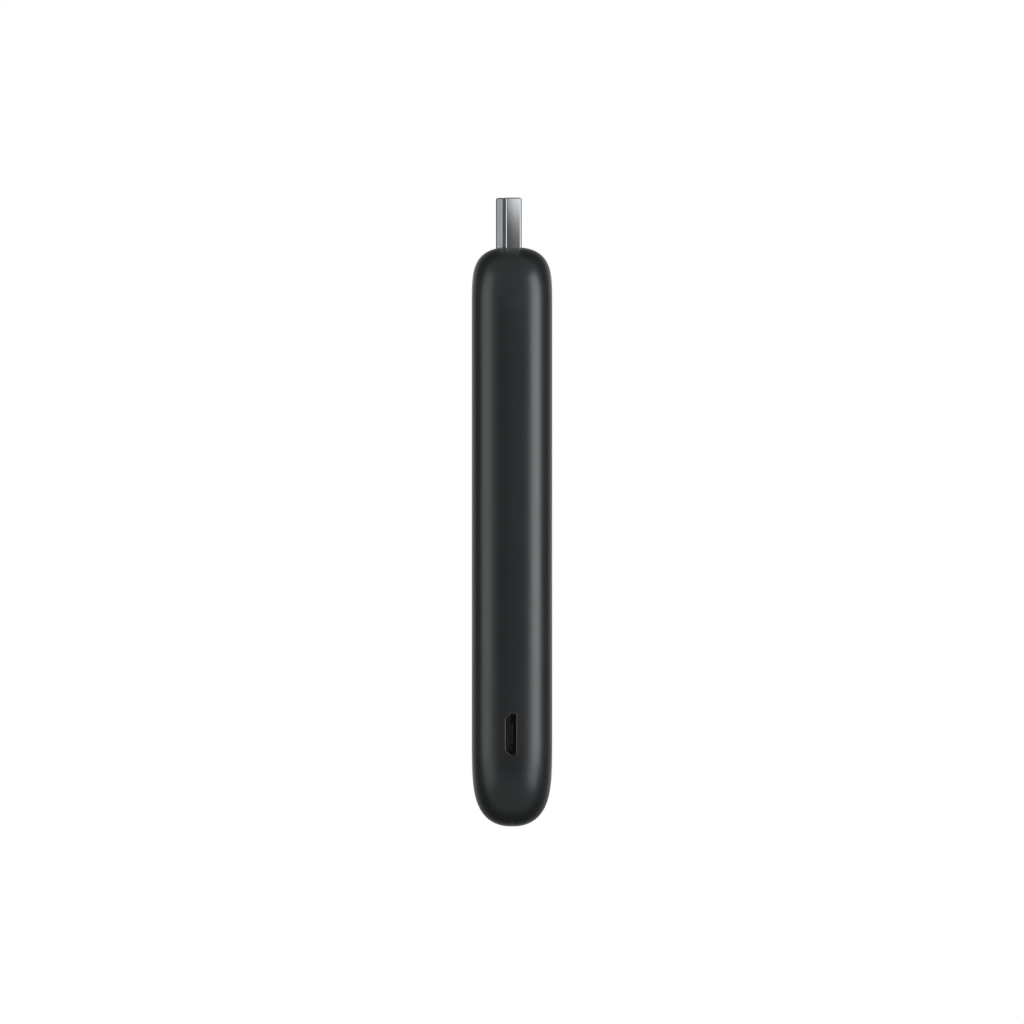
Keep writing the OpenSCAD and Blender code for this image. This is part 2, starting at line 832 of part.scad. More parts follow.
module shield_frame(side, w, l, h, cross_z) {
    color(STEEL) {
        difference() {
            on_board(side, 0, shield_z, w, l, h - shield_sheet, 0, shield_round);
            on_board(side, 0, shield_z, w - 2 * shield_sheet, l - 2 * shield_sheet,
                     h - 2 * shield_sheet, 0, shield_round - shield_sheet);
            on_board(side, 0, shield_z, w - 2 * shield_rim, l - 2 * shield_rim, h, 0, 2 * shield_round);
        }
        on_board(side, 0, cross_z, w - shield_sheet, shield_sheet, h - shield_sheet);
    }
}

module shield_lid(side, w, l, h) {
    over = 2 * lid_gap;
    past_w = w + 4 * shield_sheet;
    color(STEEL) difference() {
        on_board(side, 0, shield_z, w + over + 2 * shield_sheet, l + over + 2 * shield_sheet,
                 lid_h, h - lid_h, shield_round + shield_sheet);
        on_board(side, 0, shield_z, w + over, l + over, lid_h, h - lid_h - shield_sheet, shield_round);
        for (k = [0 : lid_slot_count - 1]) {
            z = shield_z + (k - (lid_slot_count - 1) / 2) * l / (lid_slot_count + 0.5);
            on_board(side, 0, z, past_w, lid_slot_w, lid_slot_h, h - lid_h);
        }
    }
}

module front_shield_frame() {
    shield_frame(-1, front_shield_w, front_shield_l, front_shield_h, shield_z - front_cross);
}

module front_shield_lid() {
    shield_lid(-1, front_shield_w, front_shield_l, front_shield_h);
}

module rear_shield_frame() {
    shield_frame(1, rear_shield_w, rear_shield_l, rear_shield_h, shield_z - rear_cross);
}

module rear_shield_lid() {
    shield_lid(1, rear_shield_w, rear_shield_l, rear_shield_h);
}

// Cooling

module processor_pad() {
    color(PAD_BLUE) on_board(-1, 0, shield_z + chip_row, processor_w - 2 * pad_in,
                             processor_w - 2 * pad_in, front_shield_h - shield_sheet - processor_h,
                             processor_h);
}

module memory_pad() {
    color(PAD_BLUE) for (z = [0, -chip_row])
        on_board(-1, 0, shield_z + z, memory_pad_w, memory_pad_l,
                 front_shield_h - shield_sheet - chip_h, chip_h);
}

module front_thermal_pad() {
    from = front_in + tape_t + spreader_t;
    color(PAD_BLUE) translate([0, 0, shield_z])
        slab(from, board_front - front_shield_h) polygon(rectangle(thermal_pad_w, front_pad_l, pad_round));
}

module rear_thermal_pad() {
    to = rear_in - tape_t - spreader_t;
    color(PAD_BLUE) translate([0, 0, shield_z])
        slab(board_rear + rear_shield_h, to) polygon(rectangle(thermal_pad_w, rear_pad_l, pad_round));
}

// A heat spreader lies on the flat of its housing, between the rounded edges.
module spreader(from, l) {
    w = body_w - 2 * side_roll;
    color(ALUMINIUM) translate([0, 0, shield_z]) slab(from, from + spreader_t)
        polygon(rectangle(w, l, spreader_round));
}

module spreader_tape(from, l) {
    w = body_w - 2 * side_roll - 2 * tape_in;
    color(TAPE_GREY) translate([0, 0, shield_z]) slab(from, from + tape_t)
        polygon(rectangle(w, l - 2 * tape_in, spreader_round));
}

module front_heat_spreader() {
    spreader(front_in + tape_t, front_spreader_l);
}

module rear_heat_spreader() {
    spreader(rear_in - tape_t - spreader_t, rear_spreader_l);
}

module front_spreader_tape() {
    spreader_tape(front_in, front_spreader_l);
}

module rear_spreader_tape() {
    spreader_tape(rear_in - tape_t, rear_spreader_l);
}

// The aerials

module aerial_carrier() {
    middle = (carrier_z + carrier_end) / 2;
    color(BLACK_INSULATOR) difference() {
        translate([0, 0, middle]) slab(carrier_front, carrier_front + carrier_t)
            polygon(rectangle(carrier_w, carrier_l, carrier_round));
        for (x = [-1, 1]) translate([x * carrier_w / 4, 0, middle])
            slab(carrier_front + carrier_wall, carrier_front + carrier_t + 1)
                polygon(rectangle(carrier_w / 2 - 2 * carrier_wall, carrier_l - 2 * carrier_wall,
                                  carrier_round / 2));
    }
}

// One stamped aerial, on the +X side: a slotted sheet folded over the carrier's front and end.
module aerial() {
    inner = aerial_gap / 2;
    outer = carrier_w / 2 - aerial_in;
    front = carrier_front - aerial_sheet;
    first = carrier_z - aerial_slot_from_top;
    second = first - aerial_slot_pitch;
    color(GOLD) {
        difference() {
            union() {
                box([inner, front, carrier_end - aerial_sheet],
                    [outer, carrier_front, carrier_z - aerial_from_top]);
                box([inner, front, carrier_end - aerial_sheet],
                    [outer, carrier_front + carrier_t - aerial_in, carrier_end]);
            }
            box([inner + aerial_bridge, front - 1, first - aerial_slot],
                [outer + 1, carrier_front + 0.01, first]);
            box([inner - 1, front - 1, second - aerial_slot],
                [outer - aerial_bridge, carrier_front + 0.01, second]);
        }
        for (x = feet) box([x - aerial_foot_w / 2, front, carrier_z - 2 * aerial_from_top],
                           [x + aerial_foot_w / 2, carrier_front, board_end + aerial_foot_l]);
    }
}

module right_aerial() {
    aerial();
}

module left_aerial() {
    mirror([1, 0, 0]) aerial();
}

module aerial_clips() {
    low = board_end + clip_in;
    high = low + clip_l;
    profile = [[board_front, low], [board_front, high], [carrier_front, high],
               [carrier_front, low], [carrier_front + clip_sheet, low],
               [carrier_front + clip_sheet, high - clip_sheet],
               [board_front - clip_sheet, high - clip_sheet], [board_front - clip_sheet, low]];
    color(GOLD) for (side = [-1, 1]) for (x = feet) bent(side * x, clip_w) polygon(profile);
}

front_housing();
rear_housing();
hdmi_shell();
hdmi_insulator();
hdmi_wide_contacts();
hdmi_narrow_contacts();
usb_shell();
usb_insulator();
usb_contacts();
main_board();
processor();
memory_chip();
flash_chip();
power_chip();
wireless_chip();
clock_crystals();
power_inductors();
capacitors();
resistors();
surge_arrays();
front_shield_frame();
front_shield_lid();
rear_shield_frame();
rear_shield_lid();
processor_pad();
memory_pad();
front_thermal_pad();
rear_thermal_pad();
front_heat_spreader();
rear_heat_spreader();
front_spreader_tape();
rear_spreader_tape();
aerial_carrier();
left_aerial();
right_aerial();
aerial_clips();
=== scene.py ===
# %% [markdown]
# # A streaming stick, from imported solids to a finished picture
# The stick is a black moulded housing in two halves, with a plated plug at one end and a power port
# in one side. The imported solids already hold every size and place, so this script only gives each
# surface its real curvature and finish. It loads the solids first, and reads the boxes of its pieces.

# %% Load the imported model
import json
import math

import bmesh
import bpy
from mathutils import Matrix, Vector


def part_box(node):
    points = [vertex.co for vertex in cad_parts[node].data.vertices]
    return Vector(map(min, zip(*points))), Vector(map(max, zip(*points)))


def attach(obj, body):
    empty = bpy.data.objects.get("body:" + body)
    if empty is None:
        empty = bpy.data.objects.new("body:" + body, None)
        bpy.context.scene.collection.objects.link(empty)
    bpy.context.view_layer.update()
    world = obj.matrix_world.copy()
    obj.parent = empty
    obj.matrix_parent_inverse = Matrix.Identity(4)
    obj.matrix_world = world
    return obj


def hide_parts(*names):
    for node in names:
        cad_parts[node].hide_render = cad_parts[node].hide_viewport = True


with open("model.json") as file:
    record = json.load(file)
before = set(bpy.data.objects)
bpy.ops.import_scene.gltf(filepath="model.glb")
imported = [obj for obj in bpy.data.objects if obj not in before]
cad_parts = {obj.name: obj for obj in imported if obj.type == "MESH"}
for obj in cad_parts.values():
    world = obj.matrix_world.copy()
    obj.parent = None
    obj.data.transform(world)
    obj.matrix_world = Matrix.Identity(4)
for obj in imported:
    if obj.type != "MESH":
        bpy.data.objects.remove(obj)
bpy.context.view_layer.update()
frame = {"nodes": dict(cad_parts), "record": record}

print("packed pieces:", len(frame["nodes"]))

# %% [markdown]
# ## Measures
# The stick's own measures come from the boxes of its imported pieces. The ones that a box can't tell,
# such as how far a rounded edge reaches in, are written once, beside the piece that they shape. All
# of them are in metres, and MM turns a number of millimetres into metres.

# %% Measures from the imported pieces
MM = 0.001

front_low, front_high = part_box("front_housing")
rear_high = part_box("rear_housing")[1]
plug_low, plug_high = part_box("hdmi_shell")
port_low, port_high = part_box("usb_shell")
board_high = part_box("main_board")[1]

HALF_W = front_high.x
BODY_L = -front_low.z
HALF_T = (rear_high.y - front_low.y) / 2
MID_Y = (rear_high.y + front_low.y) / 2
PLUG_TIP = plug_high.z
print("housing, mm:", round(HALF_W * 2 / MM, 2), round(HALF_T * 2 / MM, 2), round(BODY_L / MM, 2))

# %% [markdown]
# ## Helpers for modelling
# An operator acts on whatever is selected, so every piece starts from an empty selection. Drawn and
# moulded shells could be sculpted, but these have measured sections, so all of them are made in one
# way: a ring of vertices is added once, and then extruded from section to section, as a skin is
# lofted over formers. A ring may have any outline, as long as every ring of a piece has as many
# points. Smaller features are blocks with bevelled edges, cut out of a lofted piece or added to it.

# %% Start clean, and finish a piece
def deselect():
    if bpy.context.object and bpy.context.object.mode != "OBJECT":
        bpy.ops.object.mode_set(mode="OBJECT")
    bpy.ops.object.select_all(action="DESELECT")


def activate(piece):
    deselect()
    piece.select_set(True)
    bpy.context.view_layer.objects.active = piece


def finish_piece(piece, name, material, nodes, crease=35):
    activate(piece)
    bpy.ops.object.transform_apply(location=True, rotation=True, scale=True)
    bpy.ops.object.shade_smooth_by_angle(angle=math.radians(crease))
    piece.name = name
    piece.data.name = name
    piece.data.materials.clear()
    piece.data.materials.append(material)
    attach(piece, "root")
    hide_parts(*nodes)
    print(name, "faces:", len(piece.data.polygons))


# %% Loft a closed ring from section to section
def add_ring(name, points):
    deselect()
    bpy.ops.mesh.primitive_circle_add(vertices=len(points), radius=MM, fill_type="NOTHING")
    piece = bpy.context.object
    piece.name = name
    bpy.ops.object.mode_set(mode="EDIT")
    mesh = bmesh.from_edit_mesh(piece.data)
    place = mesh.verts.layers.int.new("place")
    for i, (vertex, point) in enumerate(zip(mesh.verts, points)):
        vertex[place] = i
        vertex.co = point
    bmesh.update_edit_mesh(piece.data)
    bpy.ops.mesh.select_all(action="SELECT")
    return piece


def extrude_ring(piece, points):
    bpy.ops.mesh.extrude_region_move()
    mesh = bmesh.from_edit_mesh(piece.data)
    place = mesh.verts.layers.int["place"]
    for vertex in mesh.verts:
        if vertex.select:
            vertex.co = points[vertex[place]]
    bmesh.update_edit_mesh(piece.data)


def close_ends():
    """Caps the ring that is selected, and then the one open ring that is left."""
    bpy.ops.mesh.edge_face_add()
    bpy.ops.mesh.select_all(action="DESELECT")
    bpy.ops.mesh.select_non_manifold()
    bpy.ops.mesh.edge_face_add()
    bpy.ops.mesh.select_all(action="SELECT")
    bpy.ops.mesh.normals_make_consistent(inside=False)
    bpy.ops.object.mode_set(mode="OBJECT")


def join_ends():
    """Bridges the first ring to the last, for a tube with a wall."""
    bpy.ops.mesh.select_all(action="DESELECT")
    bpy.ops.mesh.select_non_manifold()
    bpy.ops.mesh.bridge_edge_loops()
    bpy.ops.mesh.select_all(action="SELECT")
    bpy.ops.mesh.normals_make_consistent(inside=False)
    bpy.ops.object.mode_set(mode="OBJECT")


def loft(name, rings, tube=False):
    piece = add_ring(name, rings[0])
    for points in rings[1:]:
        extrude_ring(piece, points)
    if tube:
        join_ends()
    else:
        close_ends()
    return piece


# %% Make a block with bevelled edges, and cut one piece with another or add it
def rounded_block(name, low, high, bevel, segments):
    deselect()
    bpy.ops.mesh.primitive_cube_add(size=1, location=(low + high) / 2, scale=high - low)
    block = bpy.context.object
    block.name = name
    bpy.ops.object.transform_apply(location=True, rotation=True, scale=True)
    bpy.ops.object.mode_set(mode="EDIT")
    bpy.ops.mesh.select_all(action="SELECT")
    bpy.ops.mesh.bevel(offset=bevel, segments=segments, affect="EDGES")
    bpy.ops.object.mode_set(mode="OBJECT")
    return block


def combine(piece, other, operation="DIFFERENCE"):
    activate(piece)
    bpy.ops.object.modifier_add(type="BOOLEAN")
    cut = piece.modifiers[-1]
    cut.operation = operation
    cut.solver = "EXACT"
    cut.object = other
    bpy.ops.object.modifier_apply(modifier=cut.name)
    bpy.data.objects.remove(other)


# %% [markdown]
# ## Outlines
# Two kinds of outline are needed. The plug and the port are polygons whose corners are rounded, and
# they can be grown or shrunk evenly, because sheet metal is the same thickness all round. The
# housing is softer: its corners and edges are superellipses, which start to bend more gently than a
# circle does, and that is what makes its highlights fade in instead of starting at a line.

# %% Grow and round a polygon
LEAST_RADIUS = 0.03 * MM


def grown(corners, d):
    """Moves each side of a counter-clockwise list of (x, y, radius) outwards by d."""
    out = []
    for i, (x, y, radius) in enumerate(corners):
        before = Vector((x, y)) - Vector(corners[i - 1][:2])
        after = Vector(corners[(i + 1) % len(corners)][:2]) - Vector((x, y))
        out_a = Vector((before.y, -before.x)).normalized()
        out_b = Vector((after.y, -after.x)).normalized()
        moved = Vector((x, y)) + d * (out_a + out_b) / (1 + out_a.dot(out_b))
        convex = before.x * after.y - before.y * after.x > 0
        out.append((moved.x, moved.y, max(LEAST_RADIUS, radius + (d if convex else -d))))
    return out


def rounded(corners, steps):
    """Replaces each corner by an arc of its own radius, drawn in that many steps."""
    points = []
    for i, (x, y, radius) in enumerate(corners):
        p = Vector((x, y))
        u = (Vector(corners[i - 1][:2]) - p).normalized()
        v = (Vector(corners[(i + 1) % len(corners)][:2]) - p).normalized()
        half = math.acos(max(-1, min(1, u.dot(v)))) / 2
        middle = p + (u + v).normalized() * radius / math.sin(half)
        start = p + u * radius / math.tan(half) - middle
        turn = -1 if u.x * v.y - u.y * v.x > 0 else 1
        first = math.atan2(start.y, start.x)
        for k in range(steps + 1):
            angle = first + turn * (math.pi - 2 * half) * k / steps
            points.append(middle + radius * Vector((math.cos(angle), math.sin(angle))))
    return points


# %% The housing's superelliptic outline
SIDE_ROLL, PLUG_ROLL, FAR_ROLL = 6.5 * MM, 9.6 * MM, 16 * MM
CORNER_W, PLUG_CORNER, FAR_CORNER = 10 * MM, 11 * MM, 15.5 * MM
FACE_POWER, SIDE_POWER, PLUG_POWER = 2.6, 2.4, 3.8
FAR_FACE_POWER, FAR_POWER = 2.3, 4.35
CORNER_POWER, FAR_CORNER_POWER = 2.2, 2.8
CORNER_STEPS, SIDE_STEPS, END_STEPS = 24, 16, 6


def lost(t, power, face_power=FACE_POWER):
    """Share of a rounded edge's reach lost at t, from 0 at mid thickness to 1 at the face."""
    return 1 - (1 - min(t, 1) ** face_power) ** (1 / power)


def housing_ring(y, t, inset):
    """The ring of the housing's skin at height y and level t, with every wall set in."""
    half_w = HALF_W - inset - (SIDE_ROLL - inset) * lost(t, SIDE_POWER)
    top = -inset - (PLUG_ROLL - inset) * lost(t, PLUG_POWER)
    bottom = -BODY_L + inset + (FAR_ROLL - inset) * lost(t, FAR_POWER, FAR_FACE_POWER)
    mid_x = HALF_W - CORNER_W
    corners = []
    for corner in range(4):
        right = 1 if corner in (0, 3) else -1
        upper = corner < 2
        power = CORNER_POWER if upper else FAR_CORNER_POWER
        from_z, to_z = (-PLUG_CORNER, top) if upper else (-BODY_L + FAR_CORNER, bottom)
        arc = []
        for i in range(CORNER_STEPS + 1):
            k = i if corner % 2 == 0 else CORNER_STEPS - i
            angle = math.pi / 2 * k / CORNER_STEPS
            x = mid_x + (half_w - mid_x) * max(0, math.cos(angle)) ** (2 / CORNER_POWER)
            z = from_z + (to_z - from_z) * math.sin(angle) ** (2 / power)
            arc.append(Vector((right * x, y, z)))
        corners.append(arc)
    ring = []
    for corner, arc in enumerate(corners):
        ring += arc
        steps = END_STEPS if corner % 2 == 0 else SIDE_STEPS
        following = corners[(corner + 1) % 4][0]
        ring += [arc[-1].lerp(following, k / steps) for k in range(1, steps)]
    return ring


print("points in one ring of the housing:", len(housing_ring(MID_Y, 0, 0)))

# %% [markdown]
# ## Finishes
# Each real surface has detail below the size of its shape: the spark-eroded grain of a mould, and
# the fine scratches of drawn and plated sheet. Images could hold it, but then each piece would have
# to be unwrapped. Two shader groups make it instead, from the place on the piece. A group only puts
# out masks and heights, and each material decides what they do. One moulding, the base of the port's
# insert, also has painted light and shade that change with its place: it is paler where light falls
# into the port, and darker away from the contacts' side and towards its lower end.

# %% A group for fine moulded grain
def new_group(name, inputs, outputs):
    group = bpy.data.node_groups.new(name, "ShaderNodeTree")
    for socket, value in inputs:
        made = group.interface.new_socket(socket, in_out="INPUT", socket_type="NodeSocketFloat")
        made.default_value = value
    for socket in outputs:
        group.interface.new_socket(socket, in_out="OUTPUT", socket_type="NodeSocketFloat")
    return group, group.nodes.new("NodeGroupInput"), group.nodes.new("NodeGroupOutput")


def math_node(tree, operation, a, b):
    node = tree.nodes.new("ShaderNodeMath")
    node.operation = operation
    for socket, value in zip(node.inputs, (a, b)):
        if isinstance(value, (int, float)):
            socket.default_value = value
        else:
            tree.links.new(value, socket)
    return node.outputs[0]


def noise_node(tree, coordinates, scale, detail):
    node = tree.nodes.new("ShaderNodeTexNoise")
    node.inputs["Detail"].default_value = detail
    tree.links.new(coordinates, node.inputs["Vector"])
    tree.links.new(scale, node.inputs["Scale"])
    return node.outputs["Fac"]


GRAIN_SCALE, PATCH_SCALE = 5000.0, 60.0
CELL_SHARE = 0.6


def make_grain_group():
    """Grain: close pits of a spark-eroded mould, and broad patches where hands polish it."""
    scales = [("Grain Scale", GRAIN_SCALE), ("Patch Scale", PATCH_SCALE)]
    tree, given, out = new_group("moulded_grain", scales, ["Height", "Patches"])
    place = tree.nodes.new("ShaderNodeTexCoord").outputs["Object"]
    fine = noise_node(tree, place, given.outputs["Grain Scale"], detail=3.0)
    cells = tree.nodes.new("ShaderNodeTexVoronoi")
    tree.links.new(place, cells.inputs["Vector"])
    tree.links.new(given.outputs["Grain Scale"], cells.inputs["Scale"])
    pits = math_node(tree, "MULTIPLY", cells.outputs["Distance"], CELL_SHARE)
    tree.links.new(math_node(tree, "ADD", fine, pits), out.inputs["Height"])
    patches = noise_node(tree, place, given.outputs["Patch Scale"], detail=4.0)
    tree.links.new(patches, out.inputs["Patches"])
    return tree


GRAIN = make_grain_group()
print("nodes in the grain group:", len(GRAIN.nodes))


# %% A group for drawn and plated metal
LINE_SCALE, CLOUD_SCALE = 9000.0, 400.0
LINE_STRETCH = 0.02


def make_drawn_group():
    """Drawn sheet: hairline scratches along one axis, and the cloudiness of plating."""
    scales = [("Line Scale", LINE_SCALE), ("Cloud Scale", CLOUD_SCALE)]
    tree, given, out = new_group("drawn_metal", scales, ["Lines", "Cloud"])
    place = tree.nodes.new("ShaderNodeTexCoord").outputs["Object"]
    stretch = tree.nodes.new("ShaderNodeMapping")
    stretch.inputs["Scale"].default_value = (1.0, 1.0, LINE_STRETCH)
    tree.links.new(place, stretch.inputs["Vector"])
    lines = noise_node(tree, stretch.outputs["Vector"], given.outputs["Line Scale"], detail=2.0)
    tree.links.new(lines, out.inputs["Lines"])
    cloud = noise_node(tree, place, given.outputs["Cloud Scale"], detail=5.0)
    tree.links.new(cloud, out.inputs["Cloud"])
    return tree


DRAWN = make_drawn_group()
print("nodes in the drawn group:", len(DRAWN.nodes))


# %% Build a material from a base, a finish and what the group's masks do
PLASTIC_IOR = 1.5
MASK_LOW, MASK_HIGH = 0.3, 0.7
GRAIN_DEPTH, GRAIN_STRENGTH = 0.004 * MM, 0.35
LINE_DEPTH = 0.001 * MM


def new_material(name, color, roughness, metallic=0.0):
    material = bpy.data.materials.new(name)
    material.use_nodes = True
    shader = material.node_tree.nodes["Principled BSDF"]
    shader.inputs["Base Color"].default_value = (*color, 1.0)
    shader.inputs["Roughness"].default_value = roughness
    shader.inputs["Metallic"].default_value = metallic
    shader.inputs["IOR"].default_value = PLASTIC_IOR
    return material, material.node_tree, shader


def place_group(tree, group, **values):
    node = tree.nodes.new("ShaderNodeGroup")
    node.node_tree = group
    for name, value in values.items():
        node.inputs[name.replace("_", " ")].default_value = value
    return node


def spread(tree, mask, low, high):
    """Turns a mask that stays near a half into a range from low to high."""
    node = tree.nodes.new("ShaderNodeMapRange")
    node.inputs["From Min"].default_value = MASK_LOW
    node.inputs["From Max"].default_value = MASK_HIGH
    node.inputs["To Min"].default_value = low
    node.inputs["To Max"].default_value = high
    tree.links.new(mask, node.inputs["Value"])
    return node.outputs["Result"]


def bump(tree, height, distance, strength, shader):
    node = tree.nodes.new("ShaderNodeBump")
    node.inputs["Distance"].default_value = distance
    node.inputs["Strength"].default_value = strength
    tree.links.new(height, node.inputs["Height"])
    tree.links.new(node.outputs["Normal"], shader.inputs["Normal"])


def tint(tree, mask, dark, light, shader):
    """Varies the base colour between two shades."""
    node = tree.nodes.new("ShaderNodeMix")
    node.data_type = "RGBA"
    node.inputs["A"].default_value = (*dark, 1.0)
    node.inputs["B"].default_value = (*light, 1.0)
    tree.links.new(mask, node.inputs["Factor"])
    tree.links.new(node.outputs["Result"], shader.inputs["Base Color"])


def moulded(name, dark, light, roughness, grain=GRAIN_SCALE):
    material, tree, shader = new_material(name, light, roughness[0])
    group = place_group(tree, GRAIN, Grain_Scale=grain)
    tree.links.new(spread(tree, group.outputs["Patches"], *roughness), shader.inputs["Roughness"])
    tint(tree, group.outputs["Patches"], dark, light, shader)
    bump(tree, group.outputs["Height"], GRAIN_DEPTH, GRAIN_STRENGTH, shader)
    return material


def plated(name, dark, light, roughness, strength=0.3):
    material, tree, shader = new_material(name, light, roughness[0], metallic=1.0)
    group = place_group(tree, DRAWN, Line_Scale=LINE_SCALE)
    tree.links.new(spread(tree, group.outputs["Cloud"], *roughness), shader.inputs["Roughness"])
    tint(tree, group.outputs["Cloud"], dark, light, shader)
    bump(tree, group.outputs["Lines"], LINE_DEPTH, strength, shader)
    return material


# %% Paint light and shade into the port's base
PAINTED_SHADING_GRADES = ((1, -0.45 * MM, 0.25 * MM), (2, -1.6 * MM, -3.2 * MM))


def paint_shading_into_base(material):
    """Paints light and shade into a moulding: lit on the contacts' side, shaded away from it and
    towards its lower end.

    Its first shade is the paler, lit one here, and the mask grows towards the second, shaded one.
    """
    tree = material.node_tree
    place = tree.nodes.new("ShaderNodeSeparateXYZ")
    tree.links.new(tree.nodes.new("ShaderNodeTexCoord").outputs["Object"], place.inputs["Vector"])
    masks = []
    for axis, start, end in PAINTED_SHADING_GRADES:
        middle = (port_low + port_high)[axis] / 2
        node = tree.nodes.new("ShaderNodeMapRange")
        node.inputs["From Min"].default_value = middle + start
        node.inputs["From Max"].default_value = middle + end
        tree.links.new(place.outputs[axis], node.inputs["Value"])
        masks.append(node.outputs["Result"])
    mix = next(n for n in tree.nodes if n.bl_idname == "ShaderNodeMix")
    tree.links.new(math_node(tree, "MAXIMUM", *masks), mix.inputs["Factor"])


# %% The stick's finishes
HOUSING_BLACK = moulded(
    "housing_black", (0.0072, 0.0083, 0.0091), (0.0084, 0.0096, 0.0105), (0.30, 0.35))
PLUG_NICKEL = plated(
    "plug_nickel", (0.57, 0.57, 0.58), (0.61, 0.61, 0.62), (0.10, 0.13), strength=0.08)
# Nickel darkened far below real plating: painted shade, for the dark inside the port and at its
# mouth.
PORT_NICKEL_PAINTED_SHADE = plated("port_nickel_painted_shade", (0.085, 0.087, 0.09), (0.11, 0.112, 0.115), (0.28, 0.36))
# The tongue's grey is a paler copy of the insulator's black: painted light, for light reaching into
# the port.
PORT_INSERT_PAINTED_LIGHT = moulded(
    "port_insert", (0.028, 0.029, 0.031), (0.036, 0.037, 0.039), (0.4, 0.5), grain=9000.0)
INSERT_BLACK = moulded(
    "insert_black", (0.013, 0.013, 0.014), (0.019, 0.019, 0.02), (0.45, 0.55), grain=9000.0)
CONTACT_GOLD = plated("contact_gold", (0.72, 0.50, 0.20), (0.83, 0.62, 0.28), (0.22, 0.32))
# Painted light and shade: the pale shade stands for light falling into the port, the dark one for its
# shade.
PORT_BASE_PAINTED_SHADING = moulded(
    "port_base_painted_shading", (0.42, 0.425, 0.435), (0.05, 0.05, 0.052), (0.45, 0.55), grain=9000.0)
paint_shading_into_base(PORT_BASE_PAINTED_SHADING)
# Gold darkened into painted shade, for the shadow that the port's contacts lie in.
PORT_GOLD_PAINTED_SHADE = plated("port_gold_painted_shade", (0.06, 0.045, 0.022), (0.09, 0.065, 0.03), (0.35, 0.45))
SHIELD_TIN = plated("shield_tin", (0.50, 0.51, 0.51), (0.60, 0.61, 0.61), (0.30, 0.42))
SPREADER_ALUMINIUM = plated(
    "spreader_aluminium", (0.52, 0.53, 0.54), (0.62, 0.63, 0.64), (0.38, 0.50))
AERIAL_GOLD = plated("aerial_gold", (0.68, 0.46, 0.19), (0.78, 0.55, 0.25), (0.25, 0.36))
CRYSTAL_STEEL = plated("crystal_steel", (0.46, 0.45, 0.42), (0.56, 0.55, 0.51), (0.24, 0.34))
BOARD_MASK = moulded(
    "board_mask", (0.008, 0.045, 0.022), (0.014, 0.07, 0.035), (0.22, 0.34), grain=2500.0)
CHIP_BLACK = moulded(
    "chip_black", (0.012, 0.012, 0.013), (0.02, 0.02, 0.021), (0.5, 0.62), grain=7000.0)
INDUCTOR_GREY = moulded(
    "inductor_grey", (0.07, 0.07, 0.075), (0.11, 0.11, 0.115), (0.55, 0.7), grain=6000.0)
CERAMIC_TAN = moulded(
    "ceramic_tan", (0.25, 0.17, 0.10), (0.34, 0.24, 0.14), (0.3, 0.42), grain=8000.0)
PAD_BLUE = moulded(
    "pad_blue", (0.13, 0.22, 0.33), (0.18, 0.29, 0.42), (0.7, 0.82), grain=3000.0)
TAPE_GREY = moulded(
    "tape_grey", (0.08, 0.08, 0.09), (0.12, 0.12, 0.13), (0.6, 0.75), grain=4000.0)
print("materials:", len(bpy.data.materials))

# %% [markdown]
# ## The two housings
# Each half is a moulding with a constant wall: outside, a rounded skin that flattens into a face;
# at the parting line, a lip on one half that drops into a groove in the other; inside, the same
# skin again, one wall further in. A subdivided block would come near, but its edges wouldn't follow
# the measured curves. All of it is one unbroken chain of rings, so one loft makes it.

# %% Sections of one housing, from its face to the parting line and back inside
WALL = 1.4 * MM
LIP_H, LIP_T, LIP_ROOM = 0.9 * MM, 0.6 * MM, 0.08 * MM
SEAM = 0.008 * MM
RIM_ROUND = 0.006 * MM
RIM_STEPS = ((5, 0), (1, 0), (0.3, 0.3), (0, 1))
SKIN_LEVELS, CORE_LEVELS = 36, 10
REAR_CORE_START, LEAST_LEVEL_STEP = 0.1, 0.02
HOUSING_CREASE = 28


def levels(count):
    """Shares of the half thickness, close together where the edge turns into the face."""
    return [math.sin(math.pi / 2 * k / count) ** (2 / FACE_POWER) for k in range(count + 1)]


def housing_rings(side):
    """All the rings of one half, where side is -1 for the front and 1 for the rear."""
    rings = []
    for t in reversed(levels(SKIN_LEVELS)[1:]):
        rings.append(housing_ring(MID_Y + side * HALF_T * t, t, 0))
    rim = SEAM / 2
    for away, inset in RIM_STEPS:
        y = MID_Y + side * (rim + away * RIM_ROUND)
        rings.append(housing_ring(y, 0, inset * RIM_ROUND))
    core_t = HALF_T - WALL
    if side > 0:
        rings.append(housing_ring(MID_Y + rim, 0, WALL - LIP_T))
        rings.append(housing_ring(MID_Y - LIP_H, 0, WALL - LIP_T))
        rings.append(housing_ring(MID_Y - LIP_H, 0, WALL))
        start = REAR_CORE_START
    else:
        depth = LIP_H + LIP_ROOM
        rings.append(housing_ring(MID_Y - rim, 0, WALL - LIP_T - LIP_ROOM))
        rings.append(housing_ring(MID_Y - depth, 0, WALL - LIP_T - LIP_ROOM))
        start = depth / core_t
    rings.append(housing_ring(MID_Y + side * core_t * start, start, WALL))
    for t in levels(CORE_LEVELS):
        if t > start + LEAST_LEVEL_STEP:
            rings.append(housing_ring(MID_Y + side * core_t * t, t, WALL))
    return rings


print("rings in the two halves:", len(housing_rings(-1)), "and", len(housing_rings(1)))

# %% [markdown]
# ## The ways through the housings
# The plug leaves through a close-fitting hole in the end, and the port has a hole of the shape of
# its connector, with two cut corners and a small bevel that catches the light. As in the photograph,
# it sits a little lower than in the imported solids, and its bevel is wider at the end towards the
# plug. Behind the hole the wall opens into a wider pocket, which takes the connector's mouth up to a
# shoulder. Both holes lie across the parting line, so each half is cut by the same two cutters.

